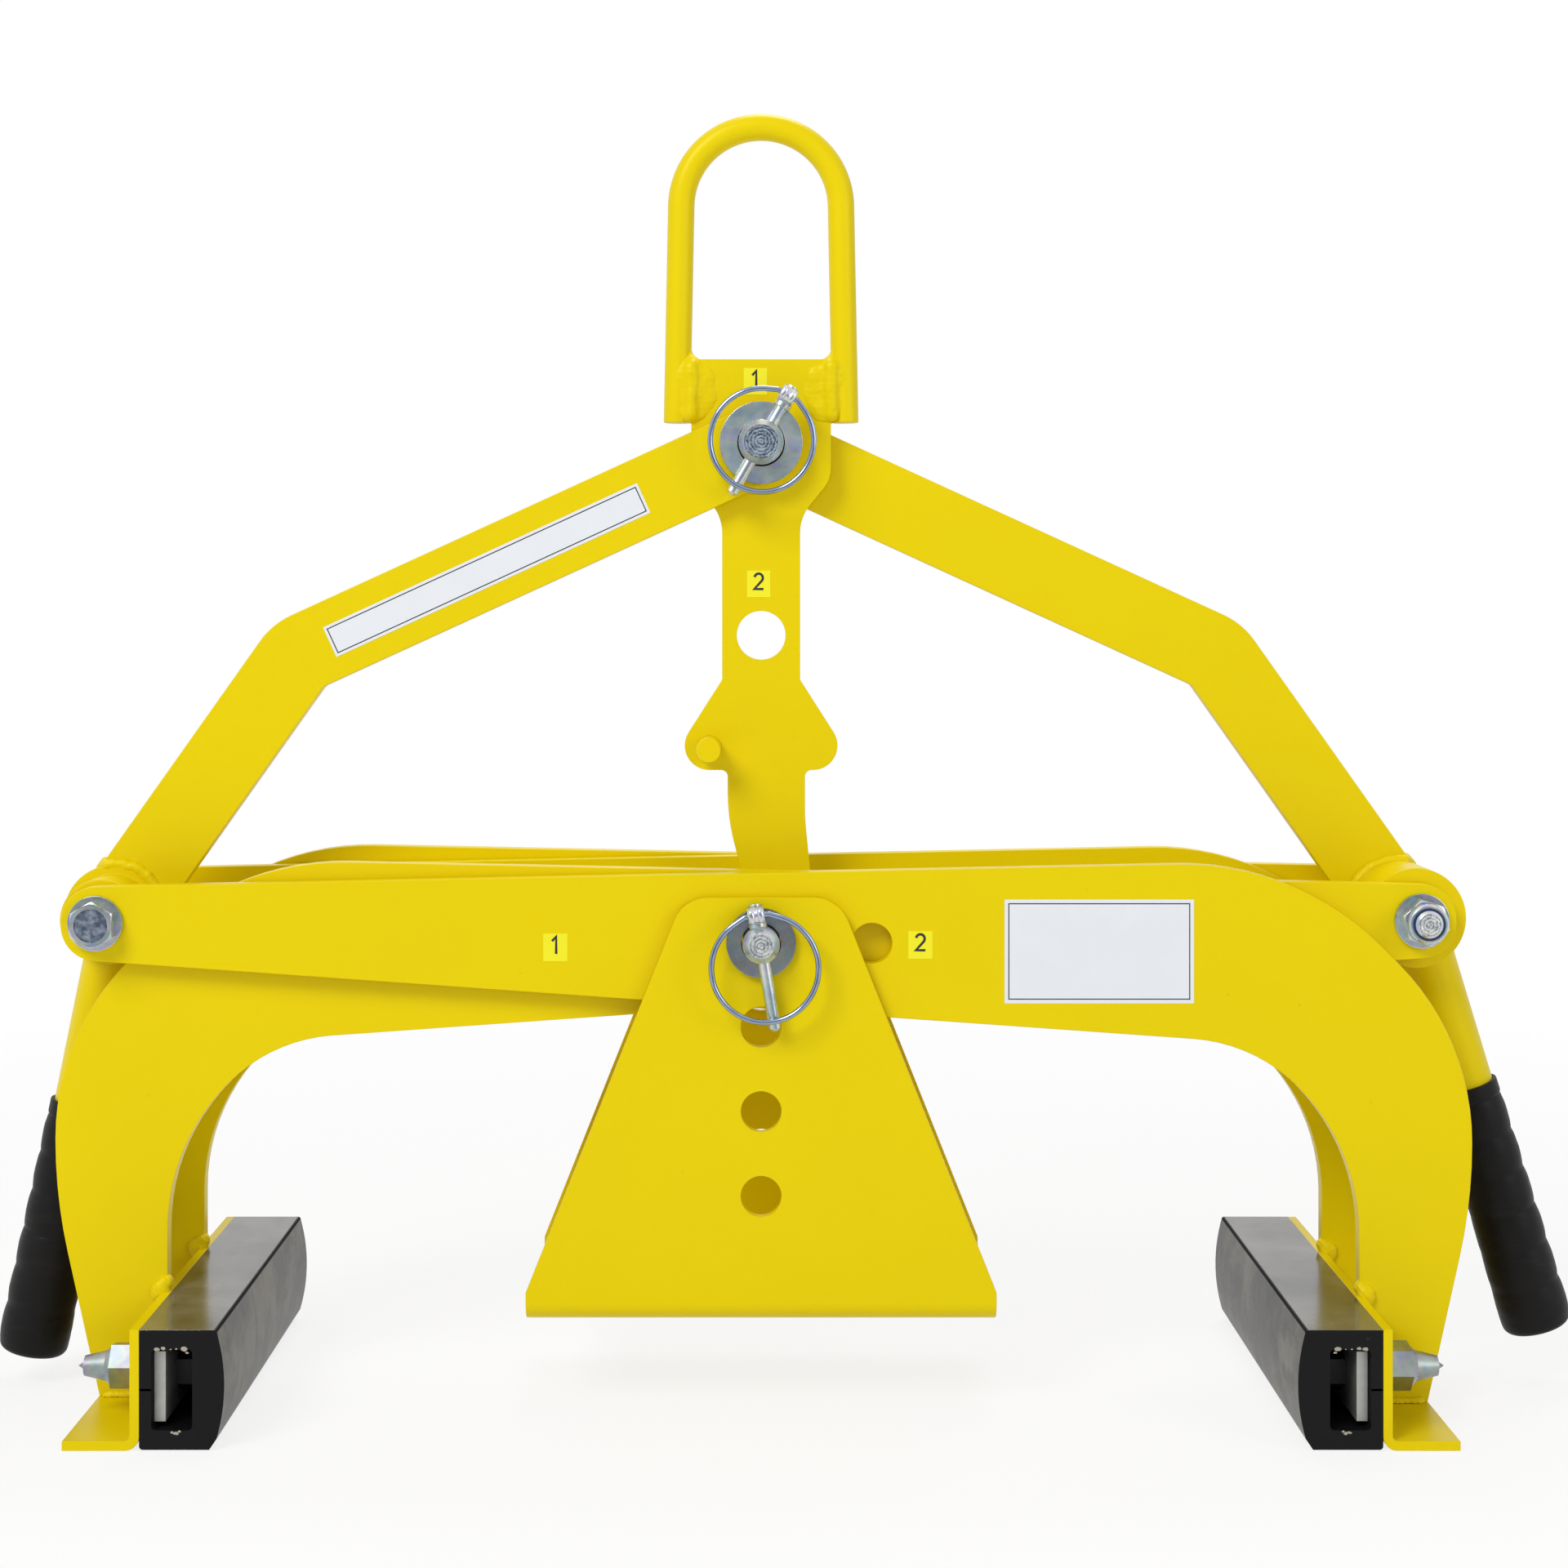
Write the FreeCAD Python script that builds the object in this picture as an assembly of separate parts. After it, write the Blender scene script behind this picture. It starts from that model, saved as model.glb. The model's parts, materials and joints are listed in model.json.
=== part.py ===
import FreeCAD, Part
import math
import os

# Kerb lifting clamp, in millimetres. Seen from the front, X runs to the right, Z runs up and
# Y runs away from the viewer. The origin lies on the ground, midway between the rubber pads
# and under the main pin. Two jaws cross at the main pin like scissors. Two links join their
# outer ends to the top pin, where the hanger and its lifting bail hang.

# Linkage
pivot_height = 204.0  # main pin above the ground
top_rise = 217.3  # top pin above the main pin
arm_rise = 7.5  # outer pivots above the main pin
pivot_inset = 20.0  # outer pivot inside the outermost edge of the jaw that it stands beside
adjusting_step = 48.0  # second hole of a jaw from the first, for a narrower grip

# Layers from front to back
jaw_inner_width = 60.0  # between the innermost jaw plates
jaw_plate_thickness = 8.0
jaw_plate_gap = 1.0
link_thickness = 8.0
hanger_thickness = 10.0
layer_gap = 0.5  # between hanger and links

# Jaw plates
foot_reach = 257.0  # centre of the clamp to the back of a pad
jaw_depth = 49.0  # jaw plate at its widest
shoulder_rise = 34.0  # top edge above the main pin, over the elbow
beam_end_radius = 15.5
underside_drop = 44.6  # underside below the main pin, where the throat starts
elbow_reach_share = 0.755  # of the jaw's outermost reach
elbow_side_share = 0.680  # of the shoulder height
flank_share = 0.382  # of the shoulder height
throat_reach_share = 0.825  # of the throat's reach
throat_side_share = 0.715  # of the underside height
elbow_top_radius = 122.0
elbow_side_radius = 110.0
flank_radius = 228.0
throat_top_radius = 71.0
throat_side_radius = 90.0
toe_inset = 0.3

# Feet, bent from plate
foot_thickness = 4.0
foot_height = 50.0
foot_width = 32.0
foot_length = 200.0
foot_bend_radius = 6.0

# Rubber pads and the steel that clamps them
pad_thickness = 32.0
pad_crown = 3.0
pad_crown_radius = 100.0
pad_ground_gap = 0.5
pad_slot_wall = 5.0
pad_slot_width = 17.0
pad_slot_height = 33.5
pad_slot_radius = 2.0
pad_corner_radius = 1.5
pad_chamfer_up = 4.4
pad_chamfer_in = 3.0
pad_bar_thickness = 5.0
pad_bar_inset = 5.0  # bar end inside the pad's end
pad_bolt_spacing = 130.0
pad_bolt_diameter = 12.0
cone_nut_hex_length = 15.0
cone_nut_shoulder = 2.5
cone_nut_base_diameter = 13.0
cone_nut_length = 9.5
cone_nut_end_diameter = 8.5
cone_nut_tip_diameter = 4.0
cone_nut_tip_length = 3.0

# Hexagon fasteners and washers
hex_across_flats = 18.0
bolt_head_height = 7.5
bolt_head_turn = 30.0  # degrees about its axis, so that a corner stands on top
bolt_dish_diameter = 14.4
bolt_dish_depth = 0.7
nut_height = 8.0
nut_turn = 43.0  # degrees about its axis
nut_collar_diameter = 17.4
nut_collar_height = 4.0
nut_collar_edge = 0.8
nut_insert_diameter = 14.2
nut_insert_depth = 0.6
cone_nut_turn = 40.0  # degrees about its axis
bolt_thread_end = 1.5
bolt_chamfer = 1.2
outer_bolt_diameter = 12.0
outer_washer_diameter = 24.0
outer_washer_thickness = 2.5
bolt_hole_clearance = 0.25  # radial

# Outer pivots
boss_diameter = 44.0
boss_neck_diameter = 36.0
boss_neck_stand = 3.0  # the wide part starts this far in front of the link
boss_end_gap = 0.5
sleeve_diameter = 18.0
running_clearance = 0.05  # radial

# Links
link_width = 35.0
link_bend_reach_share = 0.7167  # of the outer pivot's reach
link_bend_rise_share = 0.565  # of the top pin's rise
link_outer_radius = 35.0
link_inner_radius = 5.0
open_pivot_clearance = 3.2  # radial, where the closed linkage is left open

# Handles
handle_tube_diameter = 25.0
handle_tube_wall = 2.5
left_handle_lean = 11.5  # degrees outwards
left_handle_shift = 0.0  # handle's axis outwards from the outer pivot
left_handle_length = 202.0  # outer pivot to the end of the grip
right_handle_lean = 16.8  # degrees outwards
right_handle_shift = 5.4
right_handle_length = 195.5
grip_length = 114.0
grip_wall = 1.1
grip_taper = 1.4  # added to the wall at the closed end
grip_bump = 0.5
grip_bumps = 6
grip_collar_wall = 1.7
grip_collar_length = 7.0
grip_end_wall = 3.0
grip_end_radius = 4.0
grip_clearance = 0.05

# Clevis pins and their washers
main_pin_diameter = 16.0
main_hole_clearance = 0.75  # radial
main_washer_diameter = 30.0
main_head_diameter = 24.0
top_pin_diameter = 20.0
top_hole_clearance = 1.0
top_washer_diameter = 37.0
top_head_diameter = 30.0
washer_bore_clearance = 0.5
pin_washer_thickness = 3.0
pin_head_height = 6.0
pin_head_edge = 1.0
pin_chamfer = 2.5
pin_end_beyond_linch = 6.0
seat_gap = 0.3

# Linch pins and their rings
linch_shank_diameter = 5.5
linch_hole_clearance = 0.2  # radial
linch_length = 50.5  # ring hole to tip
linch_tip_length = 1.2
linch_tip_diameter = 3.4
linch_head_width = 7.0
linch_head_length = 7.5
linch_head_edge = 2.6  # ring hole to the front of the head
ring_radius = 22.9
ring_wire_diameter = 2.5
ring_hole_clearance = 0.1  # radial
ring_end_gap = 0.6
main_linch_offset = 12.9  # ring hole from the pin's axis
main_linch_lean = -9.5  # degrees that the head leans to the right
top_linch_offset = 23.7
top_linch_lean = 30.0

# Height stop, folded to a U
stop_thickness = 5.0
stop_side_gap = 1.0
stop_ground_height = 40.5
stop_half_width = 101.5
stop_side_height = 12.3
stop_top_rise = 19.0  # above the main pin
stop_top_half_width = 33.6
stop_corner_radius = 16.0
stop_bend_radius = 8.0
stop_hole_pitch = 36.5
stop_hole_count = 4

# Hanger plate, measured from the top pin
hanger_top_rise = 38.1
hanger_side_drop = 15.8
hanger_side_radius = 14.0
hanger_waist_drop = 32.8
hanger_waist_radius = 20.0
hanger_stem_half_width = 17.5
hanger_second_hole_drop = 85.9
ear_flank_drop = 105.8
ear_bottom_drop = 146.3
ear_corner_reach = 43.4
ear_radius = 11.0
ear_fillet = 3.0
finger_pin_diameter = 11.0
finger_pin_reach = 23.3
finger_pin_drop = 136.3
finger_pin_stand = 20.0  # in front of the plate

# Hook at the hanger's lower end
hook_neck_left = 15.0
hook_neck_right = 19.7
hook_neck_share = 0.773  # of the top pin's rise, where the neck's edges turn
hook_neck_radius = 90.0
hook_waist_reach = 22.9
hook_waist_radius = 3.0
hook_top_wall = 9.0
hook_heel = 3.5
hook_heel_gap = 0.3
hook_lift_gap = 1.2
hook_swing = 5.2  # degrees from the open position to the end of the slot
hook_wall = 14.5
hook_lip_reach = 11.5
hook_lip_radius = 4.0
hook_shoulder_radius = 12.0

# Lifting bail, bent from round bar
bail_bar_diameter = 12.0
bail_radius = 36.0
bail_centre_rise = 106.9  # above the top pin
bail_leg_rise = 9.7  # lower ends above the top pin
bail_leg_splay = 1.9

# Weld beads
weld_radius = 3.5
foot_weld_radius = 2.5
foot_weld_rise = 7.5  # lower end of a leg's bead above the flange
link_weld_radius = 3.5
link_weld_turn = 45.0  # degrees round the boss, to either side of the link

overrun = 5.0  # how far a cutter stands out of what it cuts
coincident = 1e-6
root_three = math.sqrt(3)
hexagon_sides = 6
hook_mouth_turn = 30.0  # degrees left of straight down, past the hook's tip
half_turn = 180
full_turn = 360
along_x = FreeCAD.Vector(1, 0, 0)
along_y = FreeCAD.Vector(0, 1, 0)
along_z = FreeCAD.Vector(0, 0, 1)
origin = FreeCAD.Vector(0, 0, 0)

# Worked out from the sizes above
throat_reach = foot_reach + foot_thickness / 2
jaw_reach = throat_reach + jaw_depth
outer_pivot_reach = jaw_reach - pivot_inset
outer_pivot_height = pivot_height + arm_rise
shoulder_height = pivot_height + shoulder_rise
underside_height = pivot_height - underside_drop
top_pin_height = pivot_height + top_rise
main_pivot = (0, pivot_height)
top_pivot = (0, top_pin_height)
outer_pivot = (-outer_pivot_reach, outer_pivot_height)
link_bend = (
    -link_bend_reach_share * outer_pivot_reach,
    pivot_height + link_bend_rise_share * top_rise,
)

inner_face = jaw_inner_width / 2
middle_face = inner_face + jaw_plate_thickness
far_face = middle_face + jaw_plate_gap
outer_face = far_face + jaw_plate_thickness
link_near = hanger_thickness / 2 + layer_gap
link_far = link_near + link_thickness
stop_near = outer_face + stop_side_gap
stop_far = stop_near + stop_thickness

main_hole_radius = main_pin_diameter / 2 + main_hole_clearance
top_hole_radius = top_pin_diameter / 2 + top_hole_clearance
bolt_hole_radius = outer_bolt_diameter / 2 + bolt_hole_clearance
pad_middle_height = pad_ground_gap + (foot_height - pad_ground_gap) / 2


def front(spot, y=0):
    """A front-view point (x, z) as a vector."""
    return FreeCAD.Vector(spot[0], y, spot[1])


def towards(start, end):
    """The direction from one front-view point to another."""
    length = math.dist(start, end)
    return ((end[0] - start[0]) / length, (end[1] - start[1]) / length)


def beyond(spot, direction, length):
    """The front-view point that lies a length away from a point."""
    return (spot[0] + direction[0] * length, spot[1] + direction[1] * length)


def crossing(first, first_way, second, second_way):
    """The point where two front-view lines cross."""
    across = first_way[0] * second_way[1] - first_way[1] * second_way[0]
    gap = (second[0] - first[0], second[1] - first[1])
    return beyond(first, first_way, (gap[0] * second_way[1] - gap[1] * second_way[0]) / across)


def profile(*corners):
    """A closed front-view wire through corners (x, z) or (x, z, radius).

    A radius that has no room beside the next corner is limited by the edge that they share.
    """
    count = len(corners)
    spots = [corner[:2] for corner in corners]
    radii = [corner[2] if len(corner) > 2 else 0 for corner in corners]
    ways = []
    reaches = []
    for place in range(count):
        back = towards(spots[place], spots[place - 1])
        ahead = towards(spots[place], spots[(place + 1) % count])
        half_angle = math.acos(back[0] * ahead[0] + back[1] * ahead[1]) / 2
        ways.append((back, ahead, half_angle))
        reaches.append(radii[place] / math.tan(half_angle))
    fits = [1] * count
    for place in range(count):
        following = (place + 1) % count
        wanted = reaches[place] + reaches[following]
        room = math.dist(spots[place], spots[following])
        if wanted > room:
            for end in (place, following):
                fits[end] = min(fits[end], room / wanted)
    arrivals = []
    departures = []
    arcs = []
    for place in range(count):
        back, ahead, half_angle = ways[place]
        reach = reaches[place] * fits[place]
        arrivals.append(beyond(spots[place], back, reach))
        departures.append(beyond(spots[place], ahead, reach))
        arcs.append(None)
        if radii[place]:
            radius = radii[place] * fits[place]
            inward = towards((0, 0), (back[0] + ahead[0], back[1] + ahead[1]))
            middle = beyond(spots[place], inward, radius / math.sin(half_angle) - radius)
            arc = Part.Arc(front(arrivals[-1]), front(middle), front(departures[-1]))
            arcs[-1] = arc.toShape()
    edges = []
    for place in range(count):
        if arcs[place]:
            edges.append(arcs[place])
        start = front(departures[place])
        end = front(arrivals[(place + 1) % count])
        if not start.isEqual(end, coincident):
            edges.append(Part.makeLine(start, end))
    return Part.Wire(edges)


def plate(wire, low, high):
    """A front-view outline given thickness from one Y to another."""
    face = Part.Face(wire)
    face.translate(FreeCAD.Vector(0, low, 0))
    return face.extrude(FreeCAD.Vector(0, high - low, 0))


def round_bar(spot, radius, low, high):
    """A cylinder along Y at a front-view point."""
    return Part.makeCylinder(radius, high - low, front(spot, low), along_y)


def tube_along_y(spot, outer, inner, low, high):
    """A tube or washer along Y at a front-view point."""
    hole = round_bar(spot, inner, low - overrun, high + overrun)
    return round_bar(spot, outer, low, high).cut(hole)


def drilled(solid, radius, *spots):
    """A solid with holes along Y at front-view points."""
    box = solid.BoundBox
    for spot in spots:
        solid = solid.cut(round_bar(spot, radius, box.YMin - overrun, box.YMax + overrun))
    return solid


def spun(spots, base, direction):
    """A solid of revolution. Its half section (radius, height) stands on a base point."""
    points = [FreeCAD.Vector(radius, 0, height) for radius, height in spots]
    face = Part.Face(Part.makePolygon(points + points[:1]))
    solid = face.revolve(origin, along_z, full_turn)
    return placed(solid, base, direction)


def placed(solid, base, direction):
    """A shape made upright at the origin, moved to a base and turned along a direction."""
    solid = solid.copy()
    solid.Placement = FreeCAD.Placement(base, FreeCAD.Rotation(along_z, direction))
    return solid


def hexagon(base, direction, height, turn=0, chamfered_far_end=True):
    """A hexagon prism whose corners are rounded off by a cone at its far end."""
    corner_radius = hex_across_flats / root_three
    step = full_turn / hexagon_sides
    turns = [math.radians(turn + step * side) for side in range(hexagon_sides + 1)]
    points = [
        FreeCAD.Vector(corner_radius * math.cos(corner), corner_radius * math.sin(corner), 0)
        for corner in turns
    ]
    solid = Part.Face(Part.makePolygon(points)).extrude(along_z * height)
    if chamfered_far_end:
        rim = hex_across_flats / 2
        cone_height = height + rim / root_three
        base_radius = rim + height * root_three
        solid = solid.common(Part.makeCone(base_radius, 0, cone_height))
    return placed(solid, base, direction)


def joined(*solids):
    """Solids that are one piece on the real clamp."""
    whole = solids[0]
    for solid in solids[1:]:
        whole = whole.fuse(solid)
    return whole.removeSplitter()


def turned_round(shape):
    """The same piece on the other side of the clamp, half a turn about Z."""
    other = shape.copy()
    other.rotate(origin, along_z, half_turn)
    return other


def bead(start, end, radius, *neighbours):
    """A weld bead between two points, with round ends, cut back to the pieces that it joins."""
    run = end.sub(start)
    solid = Part.makeCylinder(radius, run.Length, start, run)
    for tip in (start, end):
        solid = solid.fuse(Part.makeSphere(radius, tip))
    for neighbour in neighbours:
        solid = solid.cut(neighbour)
    return solid


def curved_bead(spot, reach, first, last, radius, *neighbours):
    """A weld bead round a point, between two angles clockwise from upright, cut back likewise."""
    top = spot.add(along_z * reach)
    section = Part.Face(Part.Wire(Part.makeCircle(radius, top, along_x)))
    section.rotate(spot, along_y, first)
    solid = section.revolve(spot, along_y, last - first)
    for angle in (first, last):
        tip = Part.makeSphere(radius, top)
        tip.rotate(spot, along_y, angle)
        solid = solid.fuse(tip)
    for neighbour in neighbours:
        solid = solid.cut(neighbour)
    return solid


def jaw_plate(low, high):
    """One plate of the right jaw: a long beam to the outer pivot on the left, and a curved leg."""
    leg_back = foot_reach + foot_thickness
    toe = foot_reach + foot_width - toe_inset
    elbow = elbow_reach_share * jaw_reach
    throat = throat_reach_share * throat_reach
    far_top = outer_pivot_height + beam_end_radius
    far_under = outer_pivot_height - beam_end_radius
    far_left = -outer_pivot_reach - beam_end_radius
    beam = profile(
        (far_left, far_top, beam_end_radius),
        (elbow, shoulder_height, elbow_top_radius),
        (jaw_reach, elbow_side_share * shoulder_height, elbow_side_radius),
        (jaw_reach, flank_share * shoulder_height, flank_radius),
        (toe, foot_thickness),
        (leg_back, foot_thickness),
        (leg_back, foot_height),
        (throat_reach, foot_height),
        (throat_reach, throat_side_share * underside_height, throat_side_radius),
        (throat, underside_height, throat_top_radius),
        (far_left, far_under, beam_end_radius),
    )
    solid = drilled(plate(beam, low, high), bolt_hole_radius, outer_pivot)
    second_hole = beyond(main_pivot, towards(outer_pivot, main_pivot), adjusting_step)
    return drilled(solid, main_hole_radius, main_pivot, second_hole)


def foot():
    """The right foot: a plate bent to an angle, with the pad on its upright leg."""
    section = profile(
        (foot_reach, 0, foot_bend_radius),
        (foot_reach + foot_width, 0),
        (foot_reach + foot_width, foot_thickness),
        (foot_reach + foot_thickness, foot_thickness, foot_bend_radius - foot_thickness),
        (foot_reach + foot_thickness, foot_height),
        (foot_reach, foot_height),
    )
    return bored_for_pad_bolts(plate(section, -foot_length / 2, foot_length / 2))


def bored_for_pad_bolts(solid):
    """A piece of the right foot with the two holes that the pad bolts pass."""
    box = solid.BoundBox
    radius = pad_bolt_diameter / 2 + bolt_hole_clearance
    for y in (-pad_bolt_spacing / 2, pad_bolt_spacing / 2):
        base = FreeCAD.Vector(box.XMin - overrun, y, pad_middle_height)
        along_x = FreeCAD.Vector(box.XLength + 2 * overrun, 0, 0)
        solid = solid.cut(Part.makeCylinder(radius, along_x.Length, base, along_x))
    return solid


def pad():
    """The right rubber pad: a hollow block with a crowned face and a chamfered lower edge."""
    face = foot_reach - pad_thickness
    half = foot_length / 2
    section = profile(
        (foot_reach, pad_ground_gap, pad_corner_radius),
        (foot_reach, foot_height),
        (face, foot_height, pad_corner_radius),
        (face - 2 * pad_crown, pad_middle_height, pad_crown_radius),
        (face, pad_ground_gap + pad_chamfer_up),
        (face + pad_chamfer_in, pad_ground_gap),
    )
    slot_back = foot_reach - pad_slot_wall
    slot_low = pad_middle_height - pad_slot_height / 2
    slot = profile(
        (slot_back, slot_low, pad_slot_radius),
        (slot_back, slot_low + pad_slot_height, pad_slot_radius),
        (slot_back - pad_slot_width, slot_low + pad_slot_height, pad_slot_radius),
        (slot_back - pad_slot_width, slot_low, pad_slot_radius),
    )
    block = plate(section, -half, half)
    hollow = block.cut(plate(slot, -half - overrun, half + overrun))
    wall = Part.makeBox(
        pad_slot_wall + overrun,
        foot_length,
        foot_height,
        FreeCAD.Vector(slot_back - overrun, -half, 0),
    )
    return hollow.cut(wall).fuse(bored_for_pad_bolts(hollow.common(wall))).removeSplitter()


def pad_bar():
    """The steel bar that clamps the right pad's back wall to the foot."""
    length = foot_length - 2 * pad_bar_inset
    height = pad_slot_height - 2 * pad_slot_radius
    corner = FreeCAD.Vector(
        foot_reach - pad_slot_wall - pad_bar_thickness,
        -length / 2,
        pad_middle_height - height / 2,
    )
    bar = Part.makeBox(pad_bar_thickness, length, height, corner)
    return bored_for_pad_bolts(bar)


def pad_bolts():
    """The two bolts through the right pad's bar, back wall and foot, heads inside the pad."""
    bar_face = foot_reach - pad_slot_wall - pad_bar_thickness
    shank_end = foot_reach + foot_thickness + cone_nut_hex_length
    bolts = []
    for y in (-pad_bolt_spacing / 2, pad_bolt_spacing / 2):
        base = FreeCAD.Vector(bar_face, y, pad_middle_height)
        head = hexagon(base, FreeCAD.Vector(-1, 0, 0), bolt_head_height)
        along_x = FreeCAD.Vector(1, 0, 0)
        shank = Part.makeCylinder(pad_bolt_diameter / 2, shank_end - bar_face, base, along_x)
        bolts.append(joined(head, shank))
    return Part.Compound(bolts)


def cone_nuts():
    """The two cap nuts of the right pad bolts: a hexagon that tapers to a pointed cone."""
    start = foot_reach + foot_thickness
    thread = pad_bolt_diameter / 2
    base_radius = cone_nut_base_diameter / 2
    shoulder = cone_nut_hex_length + cone_nut_shoulder
    cone = shoulder + cone_nut_length
    section = [
        (thread, cone_nut_hex_length),
        (hex_across_flats / 2, cone_nut_hex_length),
        (base_radius, shoulder),
        (cone_nut_end_diameter / 2, cone),
        (cone_nut_tip_diameter / 2, cone),
        (0, cone + cone_nut_tip_length),
        (0, cone_nut_hex_length),
    ]
    nuts = []
    along_x = FreeCAD.Vector(1, 0, 0)
    for y in (-pad_bolt_spacing / 2, pad_bolt_spacing / 2):
        base = FreeCAD.Vector(start, y, pad_middle_height)
        hexagonal = hexagon(base, along_x, cone_nut_hex_length, cone_nut_turn, False)
        bore = Part.makeCylinder(thread, cone_nut_hex_length, base, along_x)
        nuts.append(joined(hexagonal.cut(bore), spun(section, base, along_x)))
    return Part.Compound(nuts)


def foot_welds(foot_solid, *plates):
    """Beads along both sides of each plate, on the right foot's flange and up its leg."""
    corner = foot_reach + foot_thickness
    beads = []
    for jaw in plates:
        box = jaw.BoundBox
        for y in (box.YMin, box.YMax):
            near = FreeCAD.Vector(corner + foot_weld_radius, y, foot_thickness)
            far = FreeCAD.Vector(foot_reach + foot_width - foot_thickness, y, foot_thickness)
            beads.append(bead(near, far, foot_weld_radius, foot_solid, jaw))
            low = FreeCAD.Vector(corner, y, foot_thickness + foot_weld_rise)
            high = FreeCAD.Vector(corner, y, foot_height)
            beads.append(bead(low, high, foot_weld_radius, foot_solid, jaw))
    return Part.Compound([solid for group in beads for solid in group.Solids])


def outer_bolt():
    """The hexagon bolt that carries the left link's boss between the right jaw's plates."""
    head_face = -outer_face - outer_washer_thickness
    nut_end = middle_face + outer_washer_thickness + nut_height + nut_collar_height
    shank_end = nut_end + bolt_thread_end
    head = hexagon(front(outer_pivot, head_face), along_y * -1, bolt_head_height, bolt_head_turn)
    dish_floor = head_face - bolt_head_height + bolt_dish_depth
    dish = round_bar(outer_pivot, bolt_dish_diameter / 2, dish_floor - overrun, dish_floor)
    radius = outer_bolt_diameter / 2
    shank = round_bar(outer_pivot, radius, head_face, shank_end - bolt_chamfer)
    tip = Part.makeCone(
        radius,
        radius - bolt_chamfer,
        bolt_chamfer,
        front(outer_pivot, shank_end - bolt_chamfer),
        along_y,
    )
    return joined(head, shank, tip).cut(dish)


def outer_washers():
    """The washers under the outer bolt's head and nut."""
    radius = outer_washer_diameter / 2
    rear = middle_face + outer_washer_thickness
    return Part.Compound(
        [
            tube_along_y(
                outer_pivot, radius, bolt_hole_radius, -outer_face - outer_washer_thickness, -outer_face
            ),
            tube_along_y(outer_pivot, radius, bolt_hole_radius, middle_face, rear),
        ]
    )


def outer_nut():
    """The locking nut behind the outer pivot: a hexagon with a collar rolled over a plastic ring."""
    base = front(outer_pivot, middle_face + outer_washer_thickness)
    thread = outer_bolt_diameter / 2
    bore = Part.makeCylinder(thread, nut_height, base, along_y)
    collar = nut_collar_diameter / 2
    insert = nut_insert_diameter / 2
    end = nut_height + nut_collar_height
    section = [
        (thread, nut_height),
        (collar, nut_height),
        (collar, end - nut_collar_edge),
        (collar - nut_collar_edge, end),
        (insert, end),
        (insert, end - nut_insert_depth),
        (thread, end - nut_insert_depth),
    ]
    hexagonal = hexagon(base, along_y, nut_height, nut_turn)
    return joined(hexagonal.cut(bore), spun(section, base, along_y))


def outer_sleeve():
    """The sleeve that the bolt clamps between the jaw plates, on which the boss turns."""
    return tube_along_y(
        outer_pivot, sleeve_diameter / 2, bolt_hole_radius, -far_face, inner_face
    )


def boss():
    """The stepped tube at the left link's lower end. Its wide part carries the link."""
    bore = sleeve_diameter / 2 + running_clearance
    low = -far_face + boss_end_gap
    step = -link_far - boss_neck_stand
    neck = tube_along_y(outer_pivot, boss_neck_diameter / 2, bore, low, step)
    wide = tube_along_y(outer_pivot, boss_diameter / 2, bore, step, inner_face - boss_end_gap)
    return joined(neck, wide)


def link_plate(pin_hole_radius):
    """The left link: a flat bar cut with one bend, from the top pin down to the boss."""
    half = link_width / 2
    upper = towards(top_pivot, link_bend)
    lower = towards(link_bend, outer_pivot)
    sides = {}
    for side in (1, -1):
        upper_side = (side * upper[1] * half, -side * upper[0] * half)
        lower_side = (side * lower[1] * half, -side * lower[0] * half)
        start = (
            top_pivot[0] + upper_side[0] - upper[0] * half,
            top_pivot[1] + upper_side[1] - upper[1] * half,
        )
        end = (outer_pivot[0] + lower_side[0], outer_pivot[1] + lower_side[1])
        sides[side] = (start, crossing(start, upper, end, lower), end)
    outside, inside = sides[-1], sides[1]
    if outside[1][1] < inside[1][1]:
        outside, inside = inside, outside
    wire = profile(
        (*outside[0], half),
        (*outside[1], link_outer_radius),
        outside[2],
        inside[2],
        (*inside[1], link_inner_radius),
        (*inside[0], half),
    )
    bar = plate(wire, -link_far, -link_near)
    bar = bar.cut(round_bar(outer_pivot, boss_diameter / 2, -link_far - overrun, 0))
    return drilled(bar, pin_hole_radius, top_pivot)


def handle_way(lean):
    """The direction of the left handle, down and outwards."""
    return FreeCAD.Vector(-math.sin(math.radians(lean)), 0, -math.cos(math.radians(lean)))


def handle_base(shift):
    """The point beside the left outer pivot that the handle's axis starts from."""
    return front(beyond(outer_pivot, (-1, 0), shift))


def handle_tube(lean, shift, reach):
    """The left handle's steel tube, from the boss down into the grip."""
    way = handle_way(lean)
    length = reach - grip_end_wall - grip_clearance
    outer = handle_tube_diameter / 2
    base = handle_base(shift)
    solid = Part.makeCylinder(outer, length, base, way)
    solid = solid.cut(Part.makeCylinder(outer - handle_tube_wall, length, base, way))
    return solid.cut(round_bar(outer_pivot, boss_diameter / 2, -inner_face, inner_face))


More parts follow.
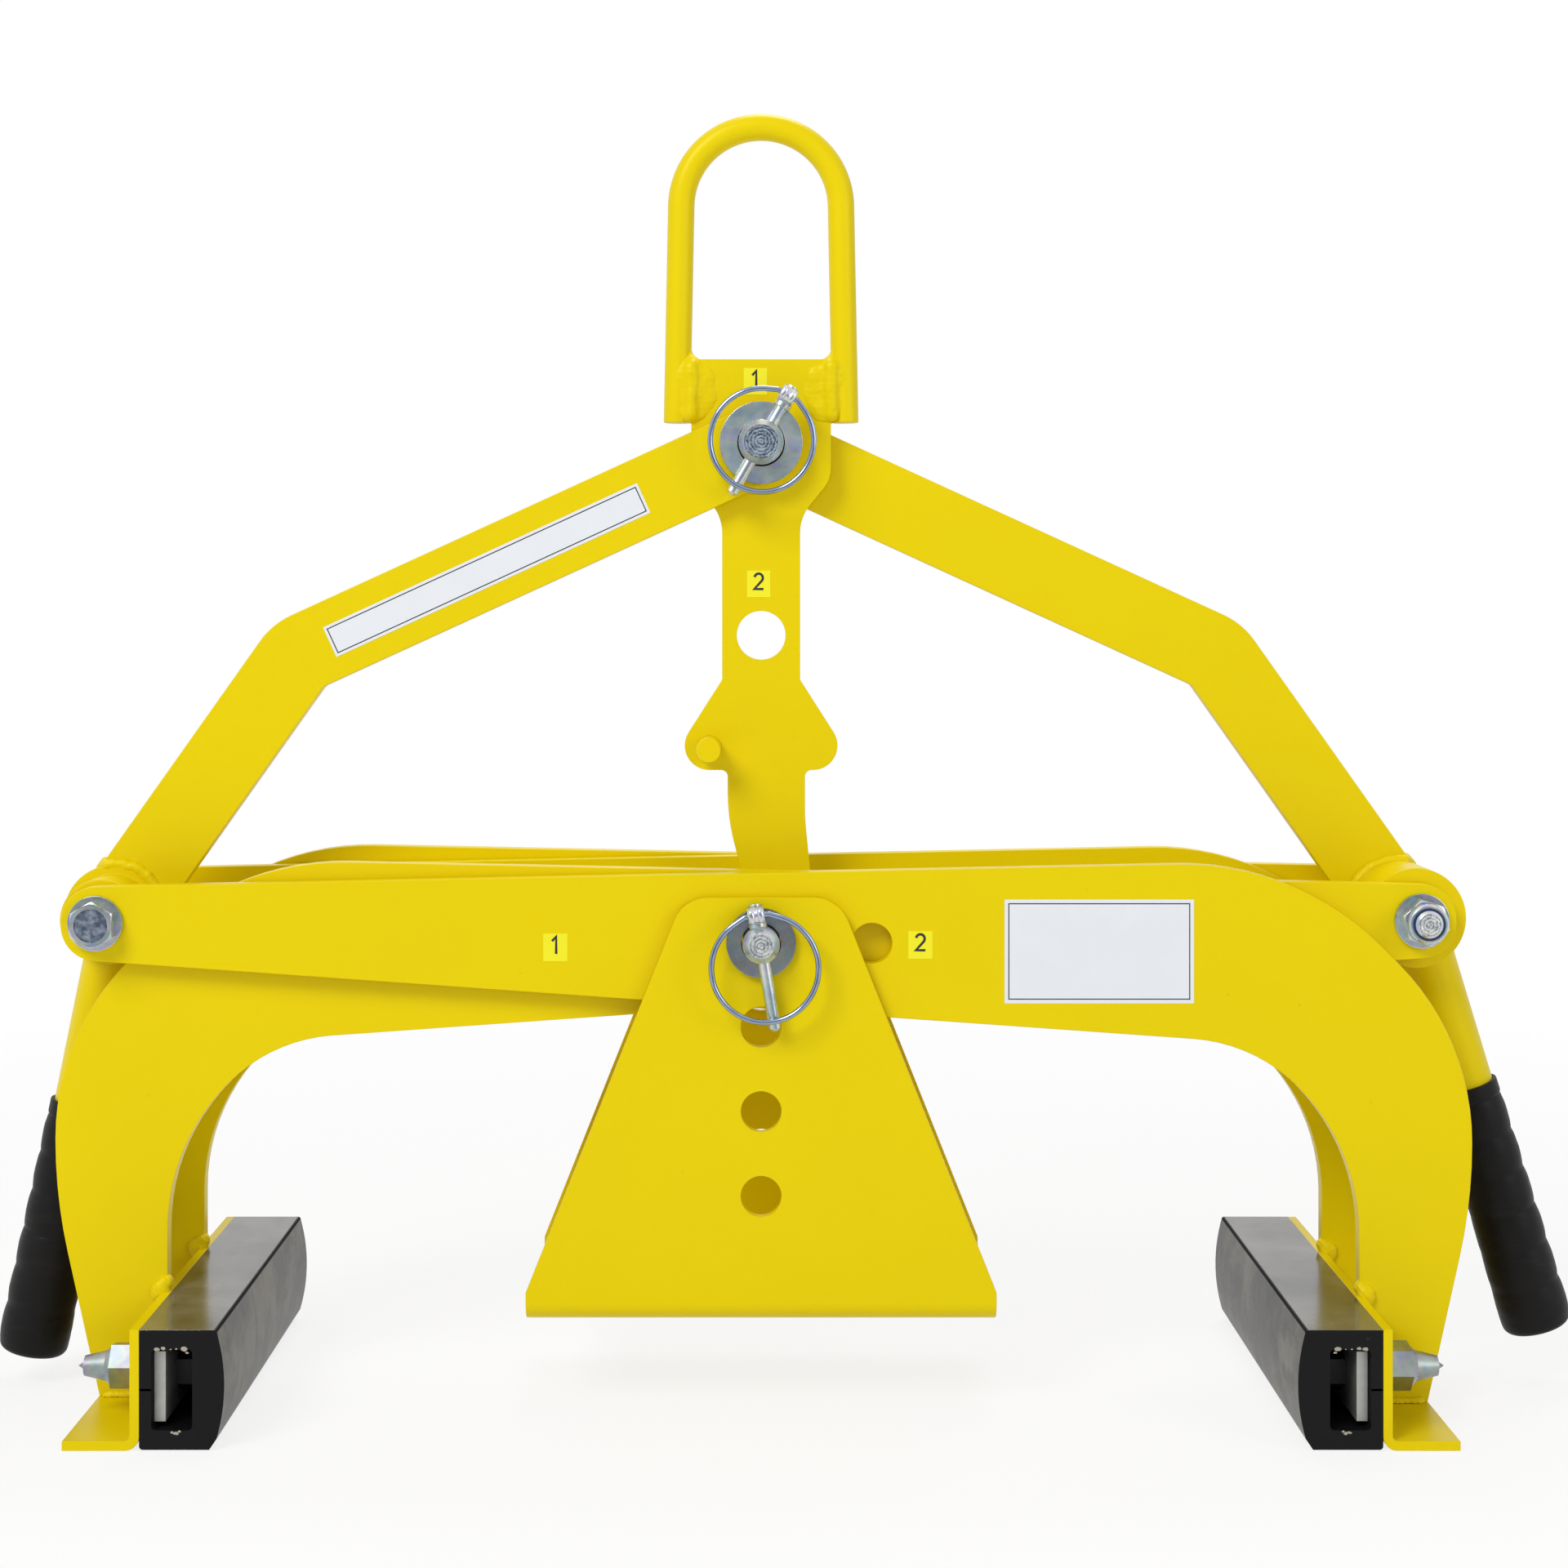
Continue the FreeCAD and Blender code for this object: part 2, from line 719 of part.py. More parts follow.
def grip(lean, shift, reach):
    """The left hand grip: a closed rubber sleeve with finger waves and a collar."""
    bore = handle_tube_diameter / 2 + grip_clearance
    root = bore + grip_wall
    step = (grip_length - grip_collar_length - grip_end_radius) / grip_bumps
    collar = bore + grip_collar_wall
    edges = []

    def at(radius, height):
        return FreeCAD.Vector(radius, 0, height)

    def line(start, end):
        edges.append(Part.makeLine(start, end))
        return end

    def arc(start, middle, end):
        edges.append(Part.Arc(start, middle, end).toShape())
        return end

    start = at(bore, 0)
    here = line(start, at(collar, 0))
    here = line(here, at(collar, grip_collar_length))
    here = line(here, at(root, grip_collar_length))
    for bump in range(grip_bumps):
        middle_share = (bump + 1 / 2) / grip_bumps
        end_share = (bump + 1) / grip_bumps
        height = grip_collar_length + step * bump
        middle = at(root + grip_taper * middle_share + grip_bump, height + step / 2)
        here = arc(here, middle, at(root + grip_taper * end_share, height + step))
    diagonal = grip_end_radius * (1 - math.sqrt(1 / 2))
    here = arc(
        here,
        at(here.x - diagonal, grip_length - diagonal),
        at(here.x - grip_end_radius, grip_length),
    )
    here = line(here, at(0, grip_length))
    here = line(here, at(0, grip_length - grip_end_wall))
    here = line(here, at(bore, grip_length - grip_end_wall))
    line(here, start)
    solid = Part.Face(Part.Wire(edges)).revolve(at(0, 0), along_z, full_turn)
    way = handle_way(lean)
    base = handle_base(shift).add(way * (reach - grip_length))
    return placed(solid, base, way)


def link_welds(link, boss_solid, tube):
    """Beads round the boss where the left link's front and rear meet it."""
    down = towards(link_bend, outer_pivot)
    lean = math.degrees(math.atan2(-down[0], -down[1]))
    arc = (boss_diameter / 2, lean - link_weld_turn, lean + link_weld_turn)
    beads = []
    for y in (-link_far, -link_near):
        spot = front(outer_pivot, y)
        beads.append(curved_bead(spot, *arc, link_weld_radius, link, boss_solid, tube))
    return Part.Compound([solid for group in beads for solid in group.Solids])


def clevis_pin(spot, diameter, head_diameter, low, high, linch_y, linch_way):
    """A headed pin along Y. The linch pin crosses it near its front end."""
    radius = diameter / 2
    body = round_bar(spot, radius, low + pin_chamfer, high)
    tip = Part.makeCone(radius - pin_chamfer, radius, pin_chamfer, front(spot, low), along_y)
    head_radius = head_diameter / 2
    head = round_bar(spot, head_radius, high, high + pin_head_height - pin_head_edge)
    edge = Part.makeCone(
        head_radius,
        head_radius - pin_head_edge,
        pin_head_edge,
        front(spot, high + pin_head_height - pin_head_edge),
        along_y,
    )
    hole_radius = linch_shank_diameter / 2 + linch_hole_clearance
    start = front(spot, linch_y).sub(linch_way * diameter)
    hole = Part.makeCylinder(hole_radius, 2 * diameter, start, linch_way)
    return joined(body, tip, head, edge).cut(hole)


def linch_direction(lean):
    """The direction of a linch pin, from its head down to its tip."""
    return FreeCAD.Vector(-math.sin(math.radians(lean)), 0, -math.cos(math.radians(lean)))


def ring_offset():
    """How far a linch ring lies in front of the shank that it snaps over."""
    return linch_shank_diameter / 2 + ring_wire_diameter / 2 + seat_gap


def linch_head(hole, lean):
    """The block at a linch pin's head, rounded in front, with the bore for the ring's ends."""
    front_end = -ring_offset() - linch_head_edge
    back_end = linch_shank_diameter / 2
    half = linch_head_length / 2
    side = profile(
        (back_end, -half),
        (back_end, half),
        (front_end, half, half),
        (front_end, -half, half),
    )
    head = plate(side, -linch_head_width / 2, linch_head_width / 2)
    head = drilled(head, ring_wire_diameter / 2 + ring_hole_clearance, (-ring_offset(), 0))
    head.rotate(origin, along_z, half_turn / 2)
    head.rotate(origin, along_y, lean)
    head.translate(hole)
    return head


def linch_pin(spot, offset, lean, y):
    """A linch pin: a shank with a chamfered tip, and at its head a block that holds the ring."""
    way = linch_direction(lean)
    hole = front(spot, y).sub(way * offset)
    radius = linch_shank_diameter / 2
    shank_length = linch_length - linch_tip_length
    shank = Part.makeCylinder(radius, shank_length, hole, way)
    tip_base = hole.add(way * shank_length)
    tip = Part.makeCone(radius, linch_tip_diameter / 2, linch_tip_length, tip_base, way)
    return joined(shank, tip, linch_head(hole, lean))


def linch_ring(spot, offset, lean, y):
    """The spring ring: a wire circle whose straight ends sit in the linch pin's head."""
    way = linch_direction(lean)
    across = way.cross(along_y)
    hole = front(spot, y - ring_offset()).sub(way * offset)
    centre = hole.add(way * ring_radius)
    radius = ring_wire_diameter / 2
    side = linch_head_width / 2 + radius + seat_gap
    start_angle = math.degrees(math.asin(side / ring_radius))
    start = centre.sub(way * ring_radius)
    section = Part.Face(Part.Wire(Part.makeCircle(radius, start, across)))
    section.rotate(centre, along_y, start_angle)
    solid = section.revolve(centre, along_y, full_turn - 2 * start_angle)
    ends = [solid]
    for sign in (1, -1):
        angle = math.radians(start_angle)
        elbow = centre.sub(way * (ring_radius * math.cos(angle))).add(across * (sign * side))
        inside = hole.add(across * (sign * ring_end_gap / 2))
        outside = hole.add(across * (sign * side))
        ends.append(Part.makeCylinder(radius, (outside - inside).Length, inside, across * sign))
        rise = elbow.sub(outside)
        ends.append(Part.makeCylinder(radius, rise.Length, outside, rise))
        ends.append(Part.makeSphere(radius, elbow))
        ends.append(Part.makeSphere(radius, outside))
    return joined(*ends)


def height_stop():
    """The height stop: a plate folded to a U that hangs on the main pin."""
    top = pivot_height + stop_top_rise
    side = stop_ground_height + stop_side_height
    outline = profile(
        (-stop_half_width, stop_ground_height),
        (-stop_half_width, side),
        (-stop_top_half_width, top, stop_corner_radius),
        (stop_top_half_width, top, stop_corner_radius),
        (stop_half_width, side),
        (stop_half_width, stop_ground_height),
    )
    outer = profile(
        (-stop_far, stop_ground_height, stop_bend_radius),
        (-stop_far, top),
        (-stop_near, top),
        (-stop_near, stop_ground_height + stop_thickness, stop_bend_radius - stop_thickness),
        (stop_near, stop_ground_height + stop_thickness, stop_bend_radius - stop_thickness),
        (stop_near, top),
        (stop_far, top),
        (stop_far, stop_ground_height, stop_bend_radius),
    )
    fold = plate(outer, -stop_half_width, stop_half_width)
    fold.rotate(origin, along_z, half_turn / 2)
    solid = fold.common(plate(outline, -stop_far - overrun, stop_far + overrun))
    holes = [(0, pivot_height - stop_hole_pitch * step) for step in range(stop_hole_count)]
    return drilled(solid, main_hole_radius, *holes)


def bail_half_spread():
    """Half the distance between the bail legs' centre lines at the plate's top edge."""
    drop = (bail_centre_rise - hanger_top_rise) / (bail_centre_rise - bail_leg_rise)
    return bail_radius + bail_leg_splay * drop


def bail():
    """The lifting bail: a round bar bent over, with its legs beside the hanger plate."""
    radius = bail_bar_diameter / 2
    centre = front((0, top_pin_height + bail_centre_rise))
    foot_point = front((bail_radius + bail_leg_splay, top_pin_height + bail_leg_rise))
    reach = foot_point.sub(centre)
    tangent_angle = math.atan2(reach.z, reach.x) + math.acos(bail_radius / reach.Length)
    touch = centre.add(
        FreeCAD.Vector(math.cos(tangent_angle), 0, math.sin(tangent_angle)) * bail_radius
    )
    leg_way = foot_point.sub(touch)
    section = Part.Face(Part.Wire(Part.makeCircle(radius, touch, leg_way)))
    sweep = half_turn - 2 * math.degrees(tangent_angle)
    bend = section.revolve(centre, along_y * -1, sweep)
    leg = Part.makeCylinder(radius, leg_way.Length, touch, leg_way)
    return joined(bend, leg, turned_round(leg))


def hanger_plate():
    """The hanger: head between the bail legs, stem, two ears, and a hook round the main pin."""
    z = top_pin_height
    side = bail_half_spread() - bail_bar_diameter / 2
    stem = hanger_stem_half_width
    neck_slope = (hook_neck_left - hook_heel) / (
        (1 - hook_neck_share) * top_rise - main_pin_diameter / 2
    )
    pin_radius = main_pin_diameter / 2
    inner = top_rise - pin_radius - hook_heel_gap
    outer = top_rise + pin_radius + hook_lift_gap
    middle = (inner + outer) / 2
    slot_end = on_swing(middle, hook_swing)
    bowl = (outer - inner) / 2 + hook_wall
    heel = (-hook_heel, z - inner)
    neck = z - hook_neck_share * top_rise
    shoulder = z - inner + hook_top_wall
    outline = profile(
        (-side, z + hanger_top_rise),
        (side, z + hanger_top_rise),
        (side, z - hanger_side_drop, hanger_side_radius),
        (stem, z - hanger_waist_drop, hanger_waist_radius),
        (stem, z - ear_flank_drop, ear_fillet),
        (ear_corner_reach, z - ear_bottom_drop, ear_radius),
        (hook_neck_right, z - ear_bottom_drop, ear_fillet),
        (hook_neck_right, neck, hook_neck_radius),
        (hook_waist_reach, shoulder, hook_waist_radius),
        (slot_end[0] + bowl, shoulder, hook_shoulder_radius),
        (slot_end[0] + bowl, slot_end[1] - bowl, bowl),
        (hook_lip_reach, slot_end[1] - bowl, hook_lip_radius),
        (hook_lip_reach, slot_end[1]),
        (heel[0] + neck_slope, heel[1] - pin_radius / 2),
        (-hook_neck_left, neck, hook_neck_radius),
        (-hook_neck_left, z - ear_bottom_drop, ear_fillet),
        (-ear_corner_reach, z - ear_bottom_drop, ear_radius),
        (-stem, z - ear_flank_drop, ear_fillet),
        (-stem, z - hanger_waist_drop, hanger_waist_radius),
        (-side, z - hanger_side_drop, hanger_side_radius),
    )
    half = hanger_thickness / 2
    solid = plate(outline, -half, half)
    solid = solid.cut(hook_slot(inner, outer, slot_end))
    second = (0, z - hanger_second_hole_drop)
    solid = drilled(solid, top_hole_radius, top_pivot, second)
    solid = drilled(solid, finger_pin_diameter / 2, finger_pin_spot())
    return solid.cut(bail())


def on_swing(radius, angle):
    """The front-view point on a circle round the top pin, an angle to the right of straight down."""
    turn = math.radians(angle)
    return (radius * math.sin(turn), top_pin_height - radius * math.cos(turn))


def hook_slot(inner, outer, slot_end):
    """The hook's slot, curved about the top pin and open to the left."""
    low = -hanger_thickness / 2 - overrun
    high = hanger_thickness / 2 + overrun
    ring = tube_along_y(top_pivot, outer, inner, low, high)
    left = on_swing(2 * outer, -hook_mouth_turn)
    right = on_swing(2 * outer, hook_swing)
    wedge = plate(profile(top_pivot, left, right), low, high)
    end = round_bar(slot_end, (outer - inner) / 2, low, high)
    return ring.common(wedge).fuse(end)


def finger_pin_spot():
    """Where the finger pin stands in the left ear."""
    return (-finger_pin_reach, top_pin_height - finger_pin_drop)


def finger_pin():
    """The short pin by which the hanger is swung."""
    half = hanger_thickness / 2
    return round_bar(finger_pin_spot(), finger_pin_diameter / 2, -half - finger_pin_stand, half)


def bail_welds(hanger, bail_solid):
    """Beads in front of and behind the joint between each bail leg and the plate."""
    side = bail_half_spread() - bail_bar_diameter / 2
    half = hanger_thickness / 2
    low = top_pin_height + bail_leg_rise + weld_radius
    high = top_pin_height + hanger_top_rise - weld_radius
    beads = []
    for x in (-side, side):
        for y in (-half, half):
            ends = (front((x, low), y), front((x, high), y))
            beads.append(bead(*ends, weld_radius, hanger, bail_solid))
    return Part.Compound([solid for group in beads for solid in group.Solids])


def washer(spot, diameter, bore_diameter, low):
    """A flat washer along Y."""
    bore = bore_diameter / 2 + washer_bore_clearance
    return tube_along_y(spot, diameter / 2, bore, low, low + pin_washer_thickness)


def pin_set(name, spot, diameter, head_diameter, washer_diameter, near, far, linch):
    """A clevis pin with its washers, linch pin and ring, between a front and a rear face."""
    offset, lean = linch
    front_washer = near - seat_gap - pin_washer_thickness
    rear_washer = far + seat_gap
    linch_y = front_washer - seat_gap - linch_shank_diameter / 2
    low = linch_y - pin_end_beyond_linch
    head_face = rear_washer + pin_washer_thickness
    way = linch_direction(lean)
    return {
        f"{name}_pin": clevis_pin(spot, diameter, head_diameter, low, head_face, linch_y, way),
        f"{name}_pin_washers": Part.Compound(
            [
                washer(spot, washer_diameter, diameter, front_washer),
                washer(spot, washer_diameter, diameter, rear_washer),
            ]
        ),
        f"{name}_linch_pin": linch_pin(spot, offset, lean, linch_y),
        f"{name}_linch_ring": linch_ring(spot, offset, lean, linch_y),
    }


def jaw_side():
    """Everything that moves with the right jaw. The left jaw is the same, turned round."""
    outer_plate = jaw_plate(-outer_face, -far_face)
    inner_plate = jaw_plate(inner_face, middle_face)
    foot_solid = foot()
    return {
        "jaw_outer_plate": outer_plate,
        "jaw_inner_plate": inner_plate,
        "foot": foot_solid,
        "foot_welds": foot_welds(foot_solid, outer_plate, inner_plate),
        "pad": pad(),
        "pad_bar": pad_bar(),
        "pad_bolts": pad_bolts(),
        "cone_nuts": cone_nuts(),
    }


def outer_pivot_set():
    """The fasteners of the left outer pivot, which the right jaw carries."""
    return {
        "pivot_bolt": outer_bolt(),
        "pivot_washers": outer_washers(),
        "pivot_nut": outer_nut(),
        "pivot_sleeve": outer_sleeve(),
    }


def link_side(handle, pin_hole_radius):
    """Everything that moves with the left link. The right link is the same, turned round."""
    link = link_plate(pin_hole_radius)
    boss_solid = boss()
    tube = handle_tube(*handle)
    return {
        "link": link,
        "link_boss": boss_solid,
        "handle_tube": tube,
        "handle_grip": grip(*handle),
        "link_welds": link_welds(link, boss_solid, tube),
    }


def clamp():
    """Every piece of the clamp by name."""
    pieces = {}
    for name, shape in jaw_side().items():
        pieces["right_" + name] = shape
        pieces["left_" + name] = turned_round(shape)
    for name, shape in outer_pivot_set().items():
        pieces["left_" + name] = shape
        pieces["right_" + name] = turned_round(shape)
    left_handle = (left_handle_lean, left_handle_shift, left_handle_length)
    right_handle = (right_handle_lean, right_handle_shift, right_handle_length)
    for name, shape in link_side(left_handle, top_hole_radius).items():
        pieces["left_" + name] = shape
    open_hole = top_pin_diameter / 2 + open_pivot_clearance
    for name, shape in link_side(right_handle, open_hole).items():
        pieces["right_" + name] = turned_round(shape)
    main_linch = (main_linch_offset, main_linch_lean)
    top_linch = (top_linch_offset, top_linch_lean)
    pieces.update(
        pin_set(
            "main",
            main_pivot,
            main_pin_diameter,
            main_head_diameter,
            main_washer_diameter,
            -stop_far,
            stop_far,
            main_linch,
        )
    )
    pieces.update(
        pin_set(
            "top",
            top_pivot,
            top_pin_diameter,
            top_head_diameter,
            top_washer_diameter,
            -link_far,
            link_far,
            top_linch,
        )
    )
    pieces["height_stop"] = height_stop()
    hanger = hanger_plate()
    bail_solid = bail()
    pieces["hanger_plate"] = hanger
    pieces["lifting_bail"] = bail_solid
    pieces["finger_pin"] = finger_pin()
    pieces["bail_welds"] = bail_welds(hanger, bail_solid)
    return pieces


os.makedirs("parts", exist_ok=True)
for piece_name, piece in clamp().items():
    piece.exportStep(f"parts/{piece_name}.step")
    solids = piece.Solids
    sound = all(solid.isValid() for solid in solids)
    print(f"{piece_name}: {len(solids)} solids, {piece.Volume:.0f} mm3, sound {sound}")
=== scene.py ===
# %% [markdown]
# # A kerb lifting clamp
# The clamp is mostly yellow plate: two jaws that cross like scissors, two links up to a hanger,
# and a folded stop between them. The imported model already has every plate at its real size, so
# this lesson gives those plates the soft edges, paint, zinc and rubber of the real thing, and
# models what a drawing leaves plain: the welds, the rubber grips, the rings and the labels.

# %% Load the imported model
import json
import math

import bmesh
import bpy
from mathutils import Matrix, Vector, noise


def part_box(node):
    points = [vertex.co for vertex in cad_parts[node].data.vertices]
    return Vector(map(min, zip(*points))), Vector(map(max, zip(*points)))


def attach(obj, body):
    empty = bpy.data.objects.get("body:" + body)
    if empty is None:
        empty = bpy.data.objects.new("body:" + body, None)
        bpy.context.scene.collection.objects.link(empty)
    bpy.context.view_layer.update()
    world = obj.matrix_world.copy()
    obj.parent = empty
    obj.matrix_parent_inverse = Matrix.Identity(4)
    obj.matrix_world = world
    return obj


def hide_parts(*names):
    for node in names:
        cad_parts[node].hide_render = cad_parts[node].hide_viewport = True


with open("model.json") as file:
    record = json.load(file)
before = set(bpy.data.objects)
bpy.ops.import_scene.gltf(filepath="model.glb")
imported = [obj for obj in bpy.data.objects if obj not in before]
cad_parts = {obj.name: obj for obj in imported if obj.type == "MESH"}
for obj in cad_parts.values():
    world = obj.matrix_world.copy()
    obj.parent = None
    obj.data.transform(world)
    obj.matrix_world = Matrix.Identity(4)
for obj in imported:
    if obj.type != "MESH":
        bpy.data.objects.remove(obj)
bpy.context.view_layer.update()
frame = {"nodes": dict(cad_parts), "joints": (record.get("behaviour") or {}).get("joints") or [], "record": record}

nodes = frame["nodes"]
body_of = {node: body for body, names in frame["record"]["behaviour"]["bodies"].items() for node in names}
slot_of = {part["node"]: part["material_slot"] for part in frame["record"]["subparts"]}
joints = {joint["name"]: joint for joint in frame["joints"]}
mm = 0.001
along_x = Vector((1, 0, 0))
along_y = Vector((0, 1, 0))
along_z = Vector((0, 0, 1))

# %% [markdown]
# ## The camera
# The photograph was taken level, 1.2 m in front of the clamp and at the height of its upper links,
# so upright edges stay upright. A level camera with a small shift keeps them so, where a tilted
# camera would make them lean.

# %% Camera
camera_distance = 1.199
camera_height = 0.3545
sensor_width = 36
photo_width = 1920
eye_pixel = (932, 726)
focal_pixels = 3258
camera_data = bpy.data.cameras.new("camera")
camera_data.sensor_width = sensor_width
camera_data.lens = sensor_width * focal_pixels / photo_width
camera_data.shift_x = (photo_width / 2 - eye_pixel[0]) / photo_width
camera_data.shift_y = (eye_pixel[1] - photo_width / 2) / photo_width
camera = bpy.data.objects.new("camera", camera_data)
camera.location = (0, -camera_distance, camera_height)
camera.rotation_euler = (math.pi / 2, 0, 0)
bpy.context.scene.collection.objects.link(camera)
bpy.context.scene.camera = camera
bpy.context.scene.view_settings.view_transform = "Standard"
print("lens", round(camera_data.lens, 1), "mm, seen from", camera.location[:])

# %% [markdown]
# ## Writing materials as sums
# A shader is arithmetic on numbers that change over the surface. Wired by hand, that arithmetic
# is a tangle of Math nodes. Here a small class stands for one output of a node, so that a plain
# Python expression such as `0.3 + 0.1 * cloud` adds those nodes by itself.

# %% Sockets and finishes
class Socket:
    """One output of a shader node. Arithmetic on it adds Math nodes."""

    def __init__(self, finish, output):
        self.finish = finish
        self.output = output

    def math(self, operation, first, second):
        """A Math node on two values or sockets."""
        return self.finish.node("ShaderNodeMath", {"operation": operation}, {0: first, 1: second})

    def __add__(self, other):
        return self.math("ADD", self, other)

    def __radd__(self, other):
        return self.math("ADD", other, self)

    def __mul__(self, other):
        return self.math("MULTIPLY", self, other)

    def __rmul__(self, other):
        return self.math("MULTIPLY", other, self)


class Graph:
    """A node tree whose nodes are added one at a time."""

    def __init__(self, owner):
        owner.use_nodes = True
        self.tree = owner.node_tree

    def plug(self, target, value):
        """Gives a node's input a link or a plain value."""
        if isinstance(value, Socket):
            self.tree.links.new(value.output, target)
        else:
            target.default_value = value

    def node(self, kind, settings=None, inputs=None, output=0):
        """Adds a node: its settings first, such as a ramp's stops, then its inputs."""
        made = self.tree.nodes.new(kind)
        for name, value in (settings or {}).items():
            if name == "stops":
                for position, colour in value[1:-1]:
                    made.color_ramp.elements.new(position).color = (*colour, 1)
                for end in (0, -1):
                    made.color_ramp.elements[end].position = value[end][0]
                    made.color_ramp.elements[end].color = (*value[end][1], 1)
            else:
                setattr(made, name, value)
        for name, value in (inputs or {}).items():
            self.plug(made.inputs[name], value)
        return Socket(self, made.outputs[output])

    def seen(self):
        """1 for what the camera, a reflection or clear glass looks at, 0 for plain light."""
        rays = ("Is Camera Ray", "Is Glossy Ray", "Is Transmission Ray")
        looks = [self.node("ShaderNodeLightPath", output=ray) for ray in rays]
        return self.node("ShaderNodeClamp", inputs={"Value": looks[0] + looks[1] + looks[2]})


class Finish(Graph):
    """A material on object coordinates."""

    def __init__(self, name):
        self.material = bpy.data.materials.new(name)
        super().__init__(self.material)
        self.shader = self.tree.nodes["Principled BSDF"]
        self.place = self.node("ShaderNodeTexCoord", output="Object")

    def surface(self, **values):
        """Sets the shader's own sockets, such as Base_Color."""
        for name, value in values.items():
            if name == "Base_Color" and not isinstance(value, Socket):
                value = (*value, 1)
            self.plug(self.shader.inputs[name.replace("_", " ")], value)

    def noise(self, scale, detail, roughness=0.5, place=None):
        """Soft clouds from 0 to 1, finer as the scale grows."""
        inputs = {"Vector": place or self.place, "Scale": scale, "Detail": detail, "Roughness": roughness}
        return self.node("ShaderNodeTexNoise", inputs=inputs, output="Fac")

    def stretched(self, scale):
        """Object coordinates stretched, so that a pattern has a grain."""
        inputs = {"Vector": self.place, "Scale": scale}
        return self.node("ShaderNodeMapping", inputs=inputs, output="Vector")

    def ramp(self, factor, *stops):
        """A colour that runs through stops, each a factor and its colour."""
        return self.node("ShaderNodeValToRGB", {"stops": stops}, {"Fac": factor}, "Color")

    def mix(self, factor, first, second):
        """A colour between two colours."""
        ends = [colour if isinstance(colour, Socket) else (*colour, 1) for colour in (first, second)]
        return self.node("ShaderNodeMix", {"data_type": "RGBA"}, {0: factor, 6: ends[0], 7: ends[1]}, 2)

    def bump(self, height, depth, strength):
        """A normal that leans with a height. The depth is how far the surface stands out."""
        inputs = {"Height": height, "Distance": depth, "Strength": strength}
        return self.node("ShaderNodeBump", inputs=inputs, output="Normal")


def band(finish, value, low, high):
    """0 below low, 1 above high, and smooth between."""
    settings = {"interpolation_type": "SMOOTHSTEP"}
    inputs = {"Value": value, "From Min": low, "From Max": high}
    return finish.node("ShaderNodeMapRange", settings, inputs, "Result")


# %% [markdown]
# ## Yellow paint
# Powder coat is a thick plastic skin: one strong colour, half gloss, with a faint orange peel.
# Small scuffs and a few rubbed spots keep it from looking like plain plastic. The peel is a bump,
# because it is far finer than the mesh.

# %% Yellow paint
paint_yellow = (0.82, 0.64, 0.0)
paint_deep = (0.73, 0.56, 0.0)
paint_rubbed = (0.50, 0.37, 0.02)
paint_shine = (1.0, 0.92, 0.35, 1.0)


def yellow_paint():
    """Powder coat with clouds of tone, fine specks and rubbed stretches."""
    finish = Finish("yellow_paint")
    cloud = finish.noise(11, 3)
    speck = band(finish, finish.noise(160, 5, 0.65), 0.70, 0.76)
    scuff = band(finish, finish.noise(28, 6, 0.7, finish.stretched((1, 1, 3))), 0.68, 0.78)
    tone = finish.mix(cloud * 0.55, paint_yellow, paint_deep)
    worn = finish.mix(speck * 0.35 + scuff * 0.12, tone, paint_rubbed)
    peel = finish.noise(620, 2) * 0.5 + finish.noise(140, 2)
    finish.surface(
        Base_Color=worn,
        Specular_IOR_Level=0.3,
        Specular_Tint=paint_shine,
        Roughness=0.30 + cloud * 0.12 + scuff * 0.15,
        Normal=finish.bump(peel, 0.4 * mm, 0.16),
    )
    return finish.material


print("paint", paint_yellow, "to", paint_deep)

# %% [markdown]
# ## Zinc and bare steel
# The bolts, washers and pins are bright zinc, which is a metal with blue, green and straw tints in
# soft clouds, and the rings are polished wire. The steel bar inside each pad is bare, with the
# grain of the rolling mill along its length.

# %% Zinc and steel
zinc_grey = (0.44, 0.50, 0.54)
zinc_light = (0.70, 0.75, 0.78)
zinc_blue = (0.34, 0.42, 0.66)
zinc_green = (0.42, 0.58, 0.50)
zinc_straw = (0.66, 0.62, 0.46)
zinc_violet = (0.52, 0.42, 0.64)
wire_grey = (0.22, 0.28, 0.42)
wire_light = (0.36, 0.42, 0.56)
steel_light = (0.62, 0.62, 0.59)
steel_dark = (0.40, 0.40, 0.38)
stamped_light = (0.34, 0.39, 0.46)
stamped_dark = (0.09, 0.11, 0.16)
nylon_colour = (0.012, 0.028, 0.10)
# Near black as painted shade, for the bolts in the pads' slots.
slot_shade_black = (0.03, 0.03, 0.032)
ring_scale = 210.0


def zinc(name, shade=1.0, roughness=0.18):
    """Bright zinc plate, with the faint tints of its clear coat."""
    finish = Finish(name)

    # Shade darkens every colour: painted shade on the main pin's washers, and a duller tone on the cone nuts.
    def tone(colour):
        return tuple(shade * part for part in colour)

    cloud = finish.noise(70, 3)
    grey = finish.mix(band(finish, cloud, 0.36, 0.64), tone(zinc_grey), tone(zinc_light))
    tint = finish.ramp(
        finish.noise(130, 2),
        (0.32, tone(zinc_blue)),
        (0.44, tone(zinc_green)),
        (0.52, tone(zinc_straw)),
        (0.60, tone(zinc_violet)),
        (0.70, tone(zinc_blue)),
    )
    scratch = finish.noise(500, 3, 0.6, finish.stretched((1, 1, 0.2)))
    finish.surface(
        Base_Color=finish.mix(0.34 + 0.16 * scratch, grey, tint),
        Metallic=1.0,
        Roughness=roughness + cloud * 0.12 + scratch * 0.06,
        Normal=finish.bump(finish.noise(260, 2), 0.2 * mm, 0.08),
    )
    return finish.material


def spring_wire():
    """Polished drawn wire, which shows the studio in fine lines along it."""
    finish = Finish("spring_wire")
    grain = finish.noise(260, 3)
    finish.surface(
        Base_Color=finish.mix(grain, wire_grey, wire_light),
        Metallic=1.0,
        Roughness=0.10 + grain * 0.08,
    )
    return finish.material


